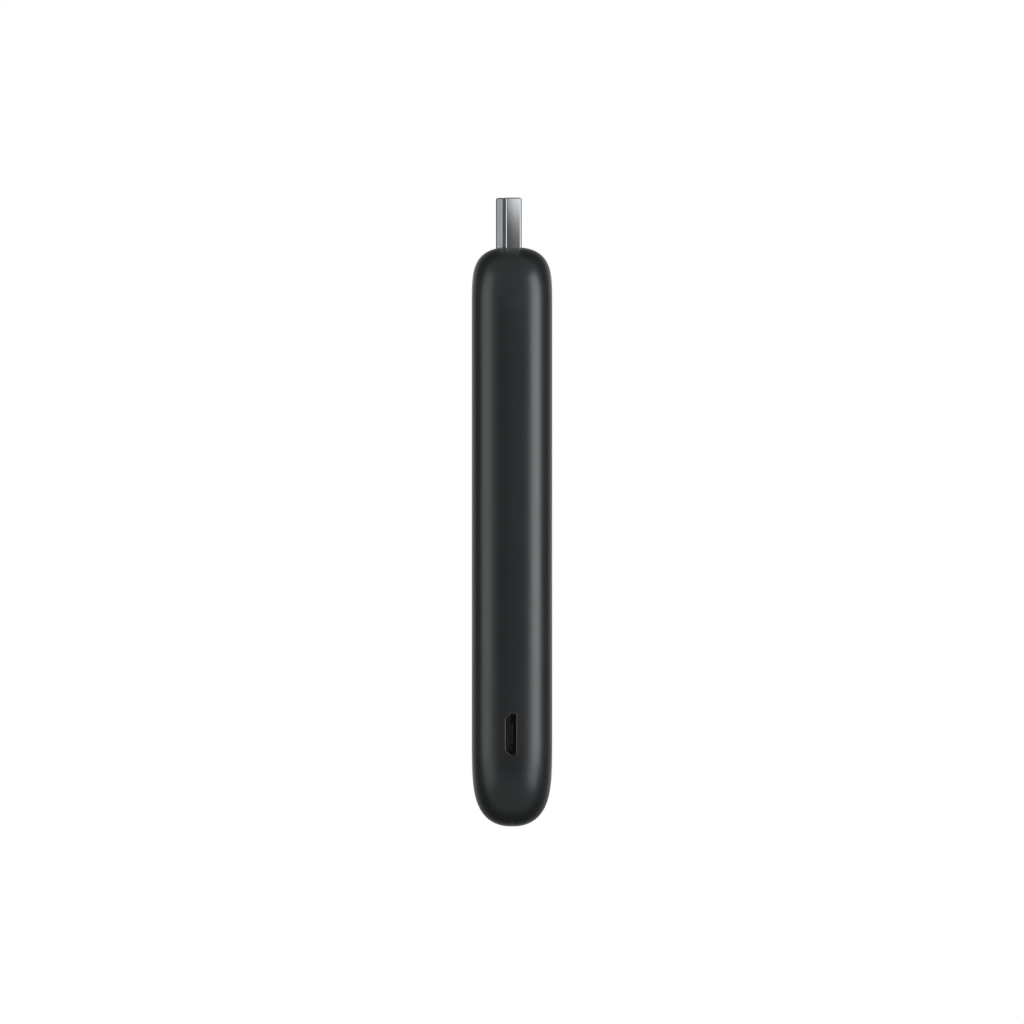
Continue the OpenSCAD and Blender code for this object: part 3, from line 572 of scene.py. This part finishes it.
# %% The plug's outline
PLUG_HALF_W, PLUG_HALF_H = plug_high.x, plug_high.y
PLUG_WIDE_H, PLUG_STEP_H = 2.66 * MM, 0.71 * MM
PLUG_STEP_W, PLUG_NARROW_W = 5.79 * MM, 5.54 * MM
STEP_Y = PLUG_HALF_H - PLUG_WIDE_H
EDGE_H, EDGE_W = 0.23 * MM, 0.28 * MM
WIDE_EDGE_H, WIDE_EDGE_W = 0.245 * MM, 0.34 * MM
FACE_ROUND, WIDE_ROUND, SHOULDER_ROUND = 0.05 * MM, 0.15 * MM, 0.245 * MM
STEP_ROUND, NARROW_ROUND, FOOT_ROUND = 0.04 * MM, 0.05 * MM, 0.08 * MM
PLUG_HALF = [
    (-PLUG_HALF_W, PLUG_HALF_H - WIDE_EDGE_H, WIDE_ROUND),
    (-PLUG_HALF_W, STEP_Y, SHOULDER_ROUND),
    (-PLUG_STEP_W, STEP_Y - PLUG_STEP_H, STEP_ROUND),
    (-PLUG_NARROW_W, -PLUG_HALF_H + EDGE_H, NARROW_ROUND),
    (-PLUG_NARROW_W + EDGE_W, -PLUG_HALF_H, FOOT_ROUND),
]
FACE_EDGE = PLUG_HALF_W - WIDE_EDGE_W
PLUG_CORNERS = [(x, PLUG_HALF_H, FACE_ROUND) for x in (FACE_EDGE, -FACE_EDGE)]
PLUG_CORNERS += PLUG_HALF + [(-x, y, r) for x, y, r in reversed(PLUG_HALF)]
CROWN, CROWN_FROM, CROWN_TO = 0.02 * MM, 1.5 * MM, 5 * MM
CROWN_SHARES = (0.03, 0.2, 0.4, 0.6, 0.8, 0.97)
CORNER_PARTS = 6


def crowned(points):
    """Adds points along the flats between rounded corners, and bulges the flats of the sides."""
    out = []
    for i, p in enumerate(points):
        out.append(p)
        if i % (CORNER_PARTS + 1) == CORNER_PARTS:
            following = points[(i + 1) % len(points)]
            along = following - p
            outwards = Vector((along.y, -along.x)).normalized()
            bulge = CROWN if CROWN_FROM < along.length < CROWN_TO else 0
            for s in CROWN_SHARES:
                out.append(p + along * s + outwards * bulge * 4 * s * (1 - s))
    return out


def plug_ring(z, d, lean=0):
    """One ring of the plug at height z, its walls moved out by d and its sides leaning in."""
    outline = rounded(grown(PLUG_CORNERS, d - CROWN), CORNER_PARTS)
    narrower = 1 - lean / PLUG_HALF_W
    return [Vector((p.x * narrower, p.y, z)) for p in crowned(outline)]


print("points in one ring of the plug:", len(plug_ring(0, 0)))

# %% The port's outline
PORT_Y, PORT_Z = (port_low.y + port_high.y) / 2, (port_low.z + port_high.z) / 2
PORT_HALF_H, PORT_HALF_L, PORT_CUT = 0.9 * MM, 3.63 * MM, 0.93 * MM
SQUARE_ROUND, CUT_ROUND = 0.25 * MM, 0.1 * MM
PORT_CORNER_PARTS = 4


def port_ring(x, d, lift, half_h=PORT_HALF_H, half_l=PORT_HALF_L, cut=PORT_CUT):
    """The port's outline at x, moved out by d: square to the rear, two cut corners to the front."""
    corners = [
        (half_h, half_l, SQUARE_ROUND), (-half_h + cut, half_l, CUT_ROUND),
        (-half_h, half_l - cut, CUT_ROUND), (-half_h, -half_l + cut, CUT_ROUND),
        (-half_h + cut, -half_l, CUT_ROUND), (half_h, -half_l, SQUARE_ROUND),
    ]
    outline = rounded(grown(corners, d), PORT_CORNER_PARTS)
    return [Vector((x, PORT_Y + p.x, PORT_Z + p.y + lift)) for p in outline]


print("points in one ring of the port:", len(port_ring(0, 0, 0)))

# %% Cutters for the plug and the port
PLUG_ROOM, PLUG_CUT_DEPTH = 0.08 * MM, 2.5 * WALL
PORT_LOW, PORT_CUT_DEPTH = 0.12 * MM, 2 * WALL
PORT_POCKET, PORT_TOUCH = 0.42 * MM, 0.05 * MM
PORT_BEVEL, BEVEL_DEPTH, BEVEL_LIFT = 0.18 * MM, 0.144 * MM, 0.05 * MM
BEVEL_PAST = 2


def plug_cutter():
    return loft("plug_cutter", [plug_ring(-PLUG_CUT_DEPTH, PLUG_ROOM), plug_ring(WALL, PLUG_ROOM)])


def port_cutter():
    """From the inside: the pocket, its shoulder, the hole, and the bevel carried past the skin."""
    shoulder = port_high.x + PORT_TOUCH
    bevel_parts = 1 + BEVEL_PAST
    sections = [
        (HALF_W - PORT_CUT_DEPTH, PORT_POCKET, 0),
        (shoulder, PORT_POCKET, 0),
        (shoulder, 0, 0),
        (HALF_W - BEVEL_DEPTH, 0, 0),
        (HALF_W + BEVEL_PAST * BEVEL_DEPTH, bevel_parts * PORT_BEVEL, bevel_parts * BEVEL_LIFT),
    ]
    return loft("port_cutter", [port_ring(x, d, lift - PORT_LOW) for x, d, lift in sections])


print("port's hole, mm:", round(2 * PORT_HALF_L / MM, 2), "by", round(2 * PORT_HALF_H / MM, 2))

# %% Loft, cut and finish both housings
def make_housing(side, name):
    shell = loft(name, housing_rings(side))
    combine(shell, plug_cutter())
    combine(shell, port_cutter())
    finish_piece(
        shell, name + "_shell", HOUSING_BLACK, [name], crease=HOUSING_CREASE)


make_housing(-1, "front_housing")
make_housing(1, "rear_housing")

# %% [markdown]
# ## The plug's shell
# The shell is thin steel, drawn and folded to the stepped section of its socket, with its tip pressed
# in at an angle so that it finds its way. Drawn sheet is never quite flat: the two sides bulge by two
# hundredths of a millimetre, and lean in towards the tip. One ring is carried up the outside, over
# the tip and down the inside, and its two ends are bridged, so the sheet has a true thickness. A
# ring close under the tip keeps the shading of the walls flat up to its sharp edge. Two windows in
# each broad face let the socket's springs catch, and a leg under each side wall reaches down to the
# board.

# %% Loft the plug's shell
PLUG_SHEET = 0.3 * MM
PLUG_FOOT = -6.2 * MM
NECK_PARTS = 8
TIP_H = 0.19 * MM
TIP_LEAN, LEAN_POWER = 0.145 * MM, 2.5
TIP_HOLD = 0.03 * MM
TIP_CURVE = ((0.02, 0.03), (0.9, 0.95), (0.97, 1.0), (1.0, 0.97), (1.0, 0))


def plug_draw(z):
    """How far the drawn wall leans in at height z, more and more towards the tip."""
    return TIP_LEAN * max(0, z / PLUG_TIP) ** LEAN_POWER


def plug_shell_rings():
    rings = [plug_ring(PLUG_FOOT, 0)]
    neck = PLUG_TIP - TIP_H
    for z in [neck * k / NECK_PARTS for k in range(NECK_PARTS)] + [neck - TIP_HOLD, neck]:
        rings.append(plug_ring(z, 0, plug_draw(z)))
    lean = plug_draw(neck)
    for across, up in TIP_CURVE:
        rings.append(plug_ring(neck + TIP_H * up, -PLUG_SHEET * across, lean))
    rings.append(plug_ring(0, -PLUG_SHEET))
    rings.append(plug_ring(PLUG_FOOT, -PLUG_SHEET))
    return rings


plug_shell = loft("plug_shell", plug_shell_rings(), tube=True)
print("the plug's shell before its windows and legs, faces:", len(plug_shell.data.polygons))

# %% Cut the windows, and add the legs
WINDOW_W, WINDOW_L, WINDOW_X, WINDOW_FROM_TIP = 2.2 * MM, 1.8 * MM, 3.2 * MM, 5.2 * MM
WINDOW_BEVEL = 0.2 * MM
LEG_BOTTOM = plug_low.z
LEG_HALF_H, LEG_OVER, LEG_BEVEL = 0.9 * MM, 1 * MM, 0.05 * MM

for x in (-WINDOW_X, WINDOW_X):
    middle = Vector((x, 0, PLUG_TIP - WINDOW_FROM_TIP))
    reach = Vector((WINDOW_W / 2, 2 * PLUG_HALF_H, WINDOW_L / 2))
    hole = rounded_block("window", middle - reach, middle + reach, WINDOW_BEVEL, segments=3)
    combine(plug_shell, hole)
for side in (-1, 1):
    xs = sorted((side * PLUG_HALF_W, side * (PLUG_HALF_W - PLUG_SHEET)))
    low = Vector((xs[0], -LEG_HALF_H, LEG_BOTTOM))
    high = Vector((xs[1], LEG_HALF_H, PLUG_FOOT + LEG_OVER))
    combine(plug_shell, rounded_block("leg", low, high, LEG_BEVEL, segments=1), "UNION")
finish_piece(plug_shell, "plug_shell", PLUG_NICKEL, ["hdmi_shell"])

# %% [markdown]
# ## The port's shell
# The connector's shell is folded from thin sheet to the same kind of outline as the hole in the
# housing. Its mouth is rolled in a little along both long sides, which leads a cable's plug in and
# catches some light, and its short ends stay straight. A connector never sits exactly in the middle
# of its hole: this one is a little to the rear in it. It is as low as the hole is, which is a little
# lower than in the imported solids. The two tabs near its back lie on the board, where the real ones
# are soldered.

# %% Loft the port's shell
PORT_SHEET = 0.25 * MM
SHELL_HALF_H, SHELL_HALF_L, SHELL_CUT = 0.93 * MM, 3.45 * MM, 0.85 * MM
MOUTH = ((-0.1, 0.25), (-0.03, 0.21), (0, 0.12), (-0.055, 0.03), (-0.145, -0.07), (-0.26, -0.14),
         (-0.43, -0.17), (-0.7, -0.1), (-1.1, 0))
SHELL_LOW, SHELL_ASIDE = 0.13 * MM, 0.06 * MM
TAB_FROM_BACK, TAB_W, TAB_BEVEL = 0.6 * MM, 1.4 * MM, 0.04 * MM


def shell_ring(x, d):
    ring = port_ring(x, d, -SHELL_LOW, SHELL_HALF_H, SHELL_HALF_L - min(d, 0), SHELL_CUT)
    return [p + Vector((0, SHELL_ASIDE, 0)) for p in ring]


rings = [shell_ring(port_low.x, PORT_SHEET)]
rings += [shell_ring(port_high.x + back * MM, out * MM) for back, out in MOUTH]
rings.append(shell_ring(port_low.x, 0))
port_shell = loft("port_shell", rings, tube=True)
shell_end = SHELL_HALF_L + PORT_SHEET / 2
for side in (-1, 1):
    zs = sorted((PORT_Z + side * shell_end, PORT_Z + side * (port_high.z - PORT_Z)))
    low = Vector((port_low.x + TAB_FROM_BACK, board_high.y, zs[0]))
    high = Vector((port_low.x + TAB_FROM_BACK + TAB_W, board_high.y + PORT_SHEET, zs[1]))
    combine(port_shell, rounded_block("tab", low, high, TAB_BEVEL, segments=1), "UNION")
# The shell's nickel is darkened: painted shade for the inside of the port.
finish_piece(port_shell, "port_shell", PORT_NICKEL_PAINTED_SHADE, ["usb_shell"])

# %% [markdown]
# ## The port's insert
# A moulded base closes the back of the shell, and carries the tongue that a cable's plug slides
# over. From its free end the tongue has a pocket for each of the five contacts, where the mould
# holds a contact by its end while the plastic flows. The contacts themselves stay as packed, and
# stand a hair proud of the tongue. The tongue's grey is a paler copy of the insulator's black:
# painted light, for the light that reaches into the port. The base is paler still, with painted light
# and
# shade: pale where light falls in on the contacts' side, and darker away from it and towards its
# lower end.

# %% Loft the base, add the tongue and cut its pockets
BASE_L, BASE_ROOM = 1.4 * MM, 0.01 * MM
TONGUE_HALF_W, TONGUE_T, TONGUE_UP, TONGUE_BACK = 1.725 * MM, 0.64 * MM, 0.05 * MM, 0.7 * MM
TONGUE_BEVEL = 0.04 * MM
POCKET_SKIN, POCKET_T, POCKET_L, POCKET_W = 0.08 * MM, 0.3 * MM, 0.85 * MM, 0.34 * MM
POCKET_COUNT, POCKET_PITCH, POCKET_BEVEL = 5, 0.65 * MM, 0.03 * MM

tongue_face = PORT_Y + TONGUE_UP - TONGUE_T / 2
tongue_end = port_high.x - TONGUE_BACK
base_end = port_low.x + BASE_L
base_rings = [shell_ring(x, -BASE_ROOM) for x in (port_low.x, base_end)]
port_insert = loft("port_insert", base_rings)
low = Vector((port_low.x + BASE_L / 2, tongue_face, PORT_Z - TONGUE_HALF_W))
high = Vector((tongue_end, tongue_face + TONGUE_T, PORT_Z + TONGUE_HALF_W))
combine(port_insert, rounded_block("tongue", low, high, TONGUE_BEVEL, segments=2), "UNION")
pocket_low = tongue_face + POCKET_SKIN
pocket_high = pocket_low + POCKET_T
for i in range(POCKET_COUNT):
    middle = PORT_Z + (i - (POCKET_COUNT - 1) / 2) * POCKET_PITCH
    low = Vector((tongue_end - POCKET_L, pocket_low, middle - POCKET_W / 2))
    high = Vector((tongue_end + POCKET_L, pocket_high, middle + POCKET_W / 2))
    combine(port_insert, rounded_block("pocket", low, high, POCKET_BEVEL, segments=1))
# The tongue takes the paler insulator colour, which is painted light.
finish_piece(port_insert, "port_insert", PORT_INSERT_PAINTED_LIGHT, ["usb_insulator"])
# The base's faces take the painted light and shade.
port_insert.data.materials.append(PORT_BASE_PAINTED_SHADING)
for face in port_insert.data.polygons:
    if face.center.x < base_end + BASE_ROOM:
        face.material_index = 1

# %% [markdown]
# ## What stays as packed
# The pieces inside are flat-sided in reality too: chips, cans, pads and sheet. Their imported solids
# have the right shape, so they only get their finishes, by the slot that the record names. The port's
# contacts are gold, but have a darker finish of their own, because the photograph shows them dark:
# this darker gold is painted shade, for the shadow that they lie in deep inside the port.

# %% Finishes for the imported pieces
FINISHES = {
    "insulator_black": INSERT_BLACK, "contact_gold": CONTACT_GOLD, "port_plate": PORT_NICKEL_PAINTED_SHADE,
    "board_mask": BOARD_MASK, "chip_black": CHIP_BLACK, "crystal_can": CRYSTAL_STEEL,
    "inductor_grey": INDUCTOR_GREY, "ceramic_tan": CERAMIC_TAN, "shield_plate": SHIELD_TIN,
    "pad_blue": PAD_BLUE, "spreader_metal": SPREADER_ALUMINIUM, "tape_grey": TAPE_GREY,
    "aerial_metal": AERIAL_GOLD,
}
# The port's contacts take the darkened gold: painted shade.
OWN_FINISHES = {"usb_contacts": PORT_GOLD_PAINTED_SHADE}
for part in frame["record"]["subparts"]:
    finish = OWN_FINISHES.get(part["node"], FINISHES.get(part["material_slot"]))
    if finish:
        mesh = frame["nodes"][part["node"]].data
        mesh.materials.clear()
        mesh.materials.append(finish)
finished = [node for node in frame["nodes"].values() if len(node.data.materials) > 0]
print("packed pieces with a finish:", len(finished))

# %% [markdown]
# ## Camera
# The photograph looks square on to the side with the port, from a long way off, so the camera sits
# on +X and looks along -X. Its distance follows from how little nearer parts grow, and its lens from
# the size of the housing in the picture, measured at END_X, where the outline of its ends lies.

# %% Camera
PICTURE = 1024
PIXELS_PER_M = 5821.0
END_X = 5 * MM
CAMERA_AWAY = 1.2
SENSOR = 36.0
VIEW_Z = -45.5 * MM
CLIP_NEAR, CLIP_FAR = 0.01, 20

camera_data = bpy.data.cameras.new("camera")
camera_data.sensor_width = SENSOR
camera_data.lens = PIXELS_PER_M * SENSOR * (CAMERA_AWAY - END_X) / PICTURE
camera_data.clip_start = CLIP_NEAR
camera_data.clip_end = CLIP_FAR
camera = bpy.data.objects.new("camera", camera_data)
bpy.context.scene.collection.objects.link(camera)
camera.location = (CAMERA_AWAY, MID_Y, VIEW_Z)
camera.rotation_euler = (math.pi / 2, 0, math.pi / 2)
bpy.context.scene.camera = camera
print("lens, mm:", round(camera_data.lens, 1))

# %% [markdown]
# ## Light and background
# A black matte object is drawn by what it reflects. Two tall soft strips stand beside the camera's
# view and draw the two long highlights. Each strip is three panels, because the highlights lean and
# fade towards both ends of the stick. A white sweep behind the stick lights its very edges, and dips
# a little below level, where the far end mirrors it. The room in front stays dim, and dimmer overhead
# and below, so that the side and both ends stay black. One small soft window, a little above the
# camera, gives the middle of the side its faint sheen. An image of a studio could do the same, but
# here each part of the room has its own number. Only a mirrored ray sees these parts: the camera sees
# plain white, and matte surfaces get one even level.

# %% Soft strips beside the view
COOL_WHITE = (0.955, 0.985, 1.0)
STRIP_AWAY = 0.7
STRIP_FOOT, STRIP_LOW, STRIP_HIGH, STRIP_TOP = -0.54, -0.18, 0.2, 0.8
HEAD_LEVEL, FOOT_LEVEL, FOOT_LEAN = 0.92, 0.5, 1.5


def soft_panel(name, azimuth, width, radiance, foot, top):
    """A tall upright softbox that faces the stick, as bright per area as radiance says."""
    data = bpy.data.lights.new(name, "AREA")
    data.shape = "RECTANGLE"
    data.size = width
    data.size_y = top - foot
    data.energy = radiance * math.pi * width * (top - foot)
    data.color = COOL_WHITE
    lamp = bpy.data.objects.new(name, data)
    bpy.context.scene.collection.objects.link(lamp)
    side = Vector((math.cos(azimuth), math.sin(azimuth), 0))
    lamp.location = side * STRIP_AWAY + Vector((0, 0, (top + foot) / 2))
    lamp.rotation_euler = (-side).to_track_quat("-Z", "Y").to_euler()
    lamp.visible_camera = False


def soft_strip(name, azimuth, lean, width, radiance):
    """Three panels: the head leans back behind the stick, the foot stands nearer the camera."""
    panels = (
        (name, azimuth, radiance, STRIP_LOW, STRIP_HIGH),
        (name + "_head", azimuth + lean, HEAD_LEVEL * radiance, STRIP_HIGH, STRIP_TOP),
        (name + "_foot", azimuth - FOOT_LEAN * lean, FOOT_LEVEL * radiance, STRIP_FOOT, STRIP_LOW),
    )
    for title, degrees, level, foot, top in panels:
        soft_panel(title, math.radians(degrees), width, level, foot, top)


soft_strip("strip_right", azimuth=55.5, lean=4, width=0.45, radiance=4.6)
soft_strip("strip_left", azimuth=-61.5, lean=-4, width=0.52, radiance=1.68)
print("soft panels:", len(bpy.data.lights))

# %% The room's measures: where each part of it starts and ends, and how bright it is
WINDOW_AZIMUTH, WINDOW_ELEVATION = math.radians(5), math.radians(10.5)
WINDOW_INNER, WINDOW_OUTER = math.radians(2), math.radians(9)
WINDOW_FLATNESS = 0.6
WINDOW_LEVEL = 1.42
WINDOW_SIDE = (0, 0.5)
SWEEP_STEEPEST, SWEEP_SLOPE = 0.35, 0.78
SWEEP_RIM, SWEEP_RIM_LEVEL = (-0.45, -0.75), 0.37
SWEEP_MIDDLE, SWEEP_MIDDLE_LEVEL = (-0.85, -1.0), 0.65
DIP, DIP_LEVEL = (-0.02, -0.16), 0.55
DIP_END, DIP_END_RISE = (-0.24, -0.48), 0.8
FRONT_SLOPE = 0.25
FRONT, FRONT_LEVEL = (-0.12, 0.12), 0.42
CAMERA_SIDE, CAMERA_SIDE_FROM, CAMERA_SIDE_TO = (0.86, 0.975), 0.12, -0.34
OVER_AND_UNDER, OVER_AND_UNDER_LEVEL = (0.3, 0.6), -0.055
ROOM_LEVEL = 0.35

# %% The room: a sweep behind, a dim front and one small soft window
world = bpy.data.worlds.new("studio")
bpy.context.scene.world = world
world.use_nodes = True
tree = world.node_tree
tree.nodes.clear()
direction = tree.nodes.new("ShaderNodeTexCoord").outputs["Generated"]
axes = tree.nodes.new("ShaderNodeSeparateXYZ")
tree.links.new(direction, axes.inputs["Vector"])
x_axis, z_axis = axes.outputs["X"], axes.outputs["Z"]


def ramp(value, span, low, high):
    """A soft step from low to high, where value goes from one end of span to the other."""
    node = tree.nodes.new("ShaderNodeMapRange")
    node.interpolation_type = "SMOOTHSTEP"
    for name, number in zip(("From Min", "From Max", "To Min", "To Max"), (*span, low, high)):
        node.inputs[name].default_value = number
    tree.links.new(value, node.inputs["Value"])
    return node.outputs["Result"]


def add(a, b):
    return math_node(tree, "ADD", a, b)


def times(a, b):
    return math_node(tree, "MULTIPLY", a, b)


flattened = tree.nodes.new("ShaderNodeVectorMath")
flattened.operation = "MULTIPLY"
flattened.inputs[1].default_value = (0, WINDOW_FLATNESS, 1)
tree.links.new(direction, flattened.inputs[0])
off_window = tree.nodes.new("ShaderNodeVectorMath")
off_window.operation = "DISTANCE"
off_window.inputs[1].default_value = (
    0, WINDOW_FLATNESS * math.sin(WINDOW_AZIMUTH), math.sin(WINDOW_ELEVATION))
tree.links.new(flattened.outputs["Vector"], off_window.inputs[0])
window_span = (math.sin(WINDOW_OUTER), math.sin(WINDOW_INNER))
glow = ramp(off_window.outputs["Value"], window_span, 0, WINDOW_LEVEL)
window = times(glow, ramp(x_axis, WINDOW_SIDE, 0, 1))

slant = math_node(tree, "ABSOLUTE", z_axis, 0)
steep = math_node(tree, "MINIMUM", slant, SWEEP_STEEPEST)
sweep = add(x_axis, times(steep, SWEEP_SLOPE))
sweep_rim = ramp(sweep, SWEEP_RIM, 0, SWEEP_RIM_LEVEL)
sweep_middle = ramp(sweep, SWEEP_MIDDLE, 0, SWEEP_MIDDLE_LEVEL)
dip = add(ramp(z_axis, DIP, 1, DIP_LEVEL), ramp(z_axis, DIP_END, 0, DIP_END_RISE))
behind = times(add(sweep_rim, sweep_middle), dip)

raised = math_node(tree, "MAXIMUM", z_axis, 0)
room_front = ramp(add(x_axis, times(raised, FRONT_SLOPE)), FRONT, 0, FRONT_LEVEL)
camera_side = ramp(x_axis, CAMERA_SIDE, CAMERA_SIDE_FROM, CAMERA_SIDE_TO)
over_and_under = ramp(slant, OVER_AND_UNDER, 0, OVER_AND_UNDER_LEVEL)
front = math_node(tree, "MAXIMUM", add(add(room_front, camera_side), over_and_under), 0)
reflected = add(add(window, behind), front)
print("nodes for what a mirror sees:", len(tree.nodes))

# %% What each kind of ray sees of the room
path = tree.nodes.new("ShaderNodeLightPath")
level = tree.nodes.new("ShaderNodeMix")
level.inputs["A"].default_value = ROOM_LEVEL
tree.links.new(path.outputs["Is Glossy Ray"], level.inputs["Factor"])
tree.links.new(reflected, level.inputs["B"])
room = tree.nodes.new("ShaderNodeBackground")
room.inputs["Color"].default_value = (*COOL_WHITE, 1.0)
tree.links.new(level.outputs["Result"], room.inputs["Strength"])
white = tree.nodes.new("ShaderNodeBackground")
white.inputs["Color"].default_value = (1, 1, 1, 1)
seen = math_node(tree, "MAXIMUM", path.outputs["Is Camera Ray"], path.outputs["Is Transmission Ray"])
choose = tree.nodes.new("ShaderNodeMixShader")
tree.links.new(seen, choose.inputs[0])
tree.links.new(room.outputs["Background"], choose.inputs[1])
tree.links.new(white.outputs["Background"], choose.inputs[2])
output = tree.nodes.new("ShaderNodeOutputWorld")
tree.links.new(choose.outputs["Shader"], output.inputs["Surface"])
print("nodes in the room:", len(tree.nodes))

# %% [markdown]
# ## Floor
# The stick hangs above a pale floor, out of the photograph's frame. The floor takes the stick's soft
# shadow, and its rim fades out so that no edge shows against the white. Mirrored rays pass it by, so
# that it doesn't change the black of the housing.

# %% Floor
FLOOR_Z = -0.25
FLOOR_R, FLOOR_SIDES = 0.45, 96
FLOOR_GREY, FLOOR_ROUGHNESS = (0.82, 0.82, 0.82), 0.9
FADE_FROM, FADE_TO = 0.35 * FLOOR_R, 0.95 * FLOOR_R

deselect()
bpy.ops.mesh.primitive_circle_add(
    vertices=FLOOR_SIDES, radius=FLOOR_R, fill_type="NGON", location=(0, 0, FLOOR_Z))
floor = bpy.context.object
floor.name = "floor"
bpy.ops.object.transform_apply(location=True, rotation=True, scale=True)
pale, tree, shader = new_material("pale_floor", FLOOR_GREY, FLOOR_ROUGHNESS)
distance = tree.nodes.new("ShaderNodeVectorMath")
distance.operation = "DISTANCE"
distance.inputs[1].default_value = (0, 0, FLOOR_Z)
tree.links.new(tree.nodes.new("ShaderNodeTexCoord").outputs["Object"], distance.inputs[0])
fade = tree.nodes.new("ShaderNodeMapRange")
fade.interpolation_type = "SMOOTHSTEP"
fade.inputs["From Min"].default_value = FADE_FROM
fade.inputs["From Max"].default_value = FADE_TO
fade.inputs["To Min"].default_value = 1.0
fade.inputs["To Max"].default_value = 0.0
tree.links.new(distance.outputs["Value"], fade.inputs["Value"])
path = tree.nodes.new("ShaderNodeLightPath")
not_mirrored = math_node(tree, "SUBTRACT", 1, path.outputs["Is Glossy Ray"])
alpha = math_node(tree, "MULTIPLY", fade.outputs["Result"], not_mirrored)
tree.links.new(alpha, shader.inputs["Alpha"])
floor.data.materials.append(pale)
print("floor, m:", FLOOR_R * 2, "wide and", -FLOOR_Z, "below the origin")

# %% [markdown]
# ## View transform
# The picture keeps plain colours, so the view transform is the standard one.

bpy.context.scene.view_settings.view_transform = "Standard"
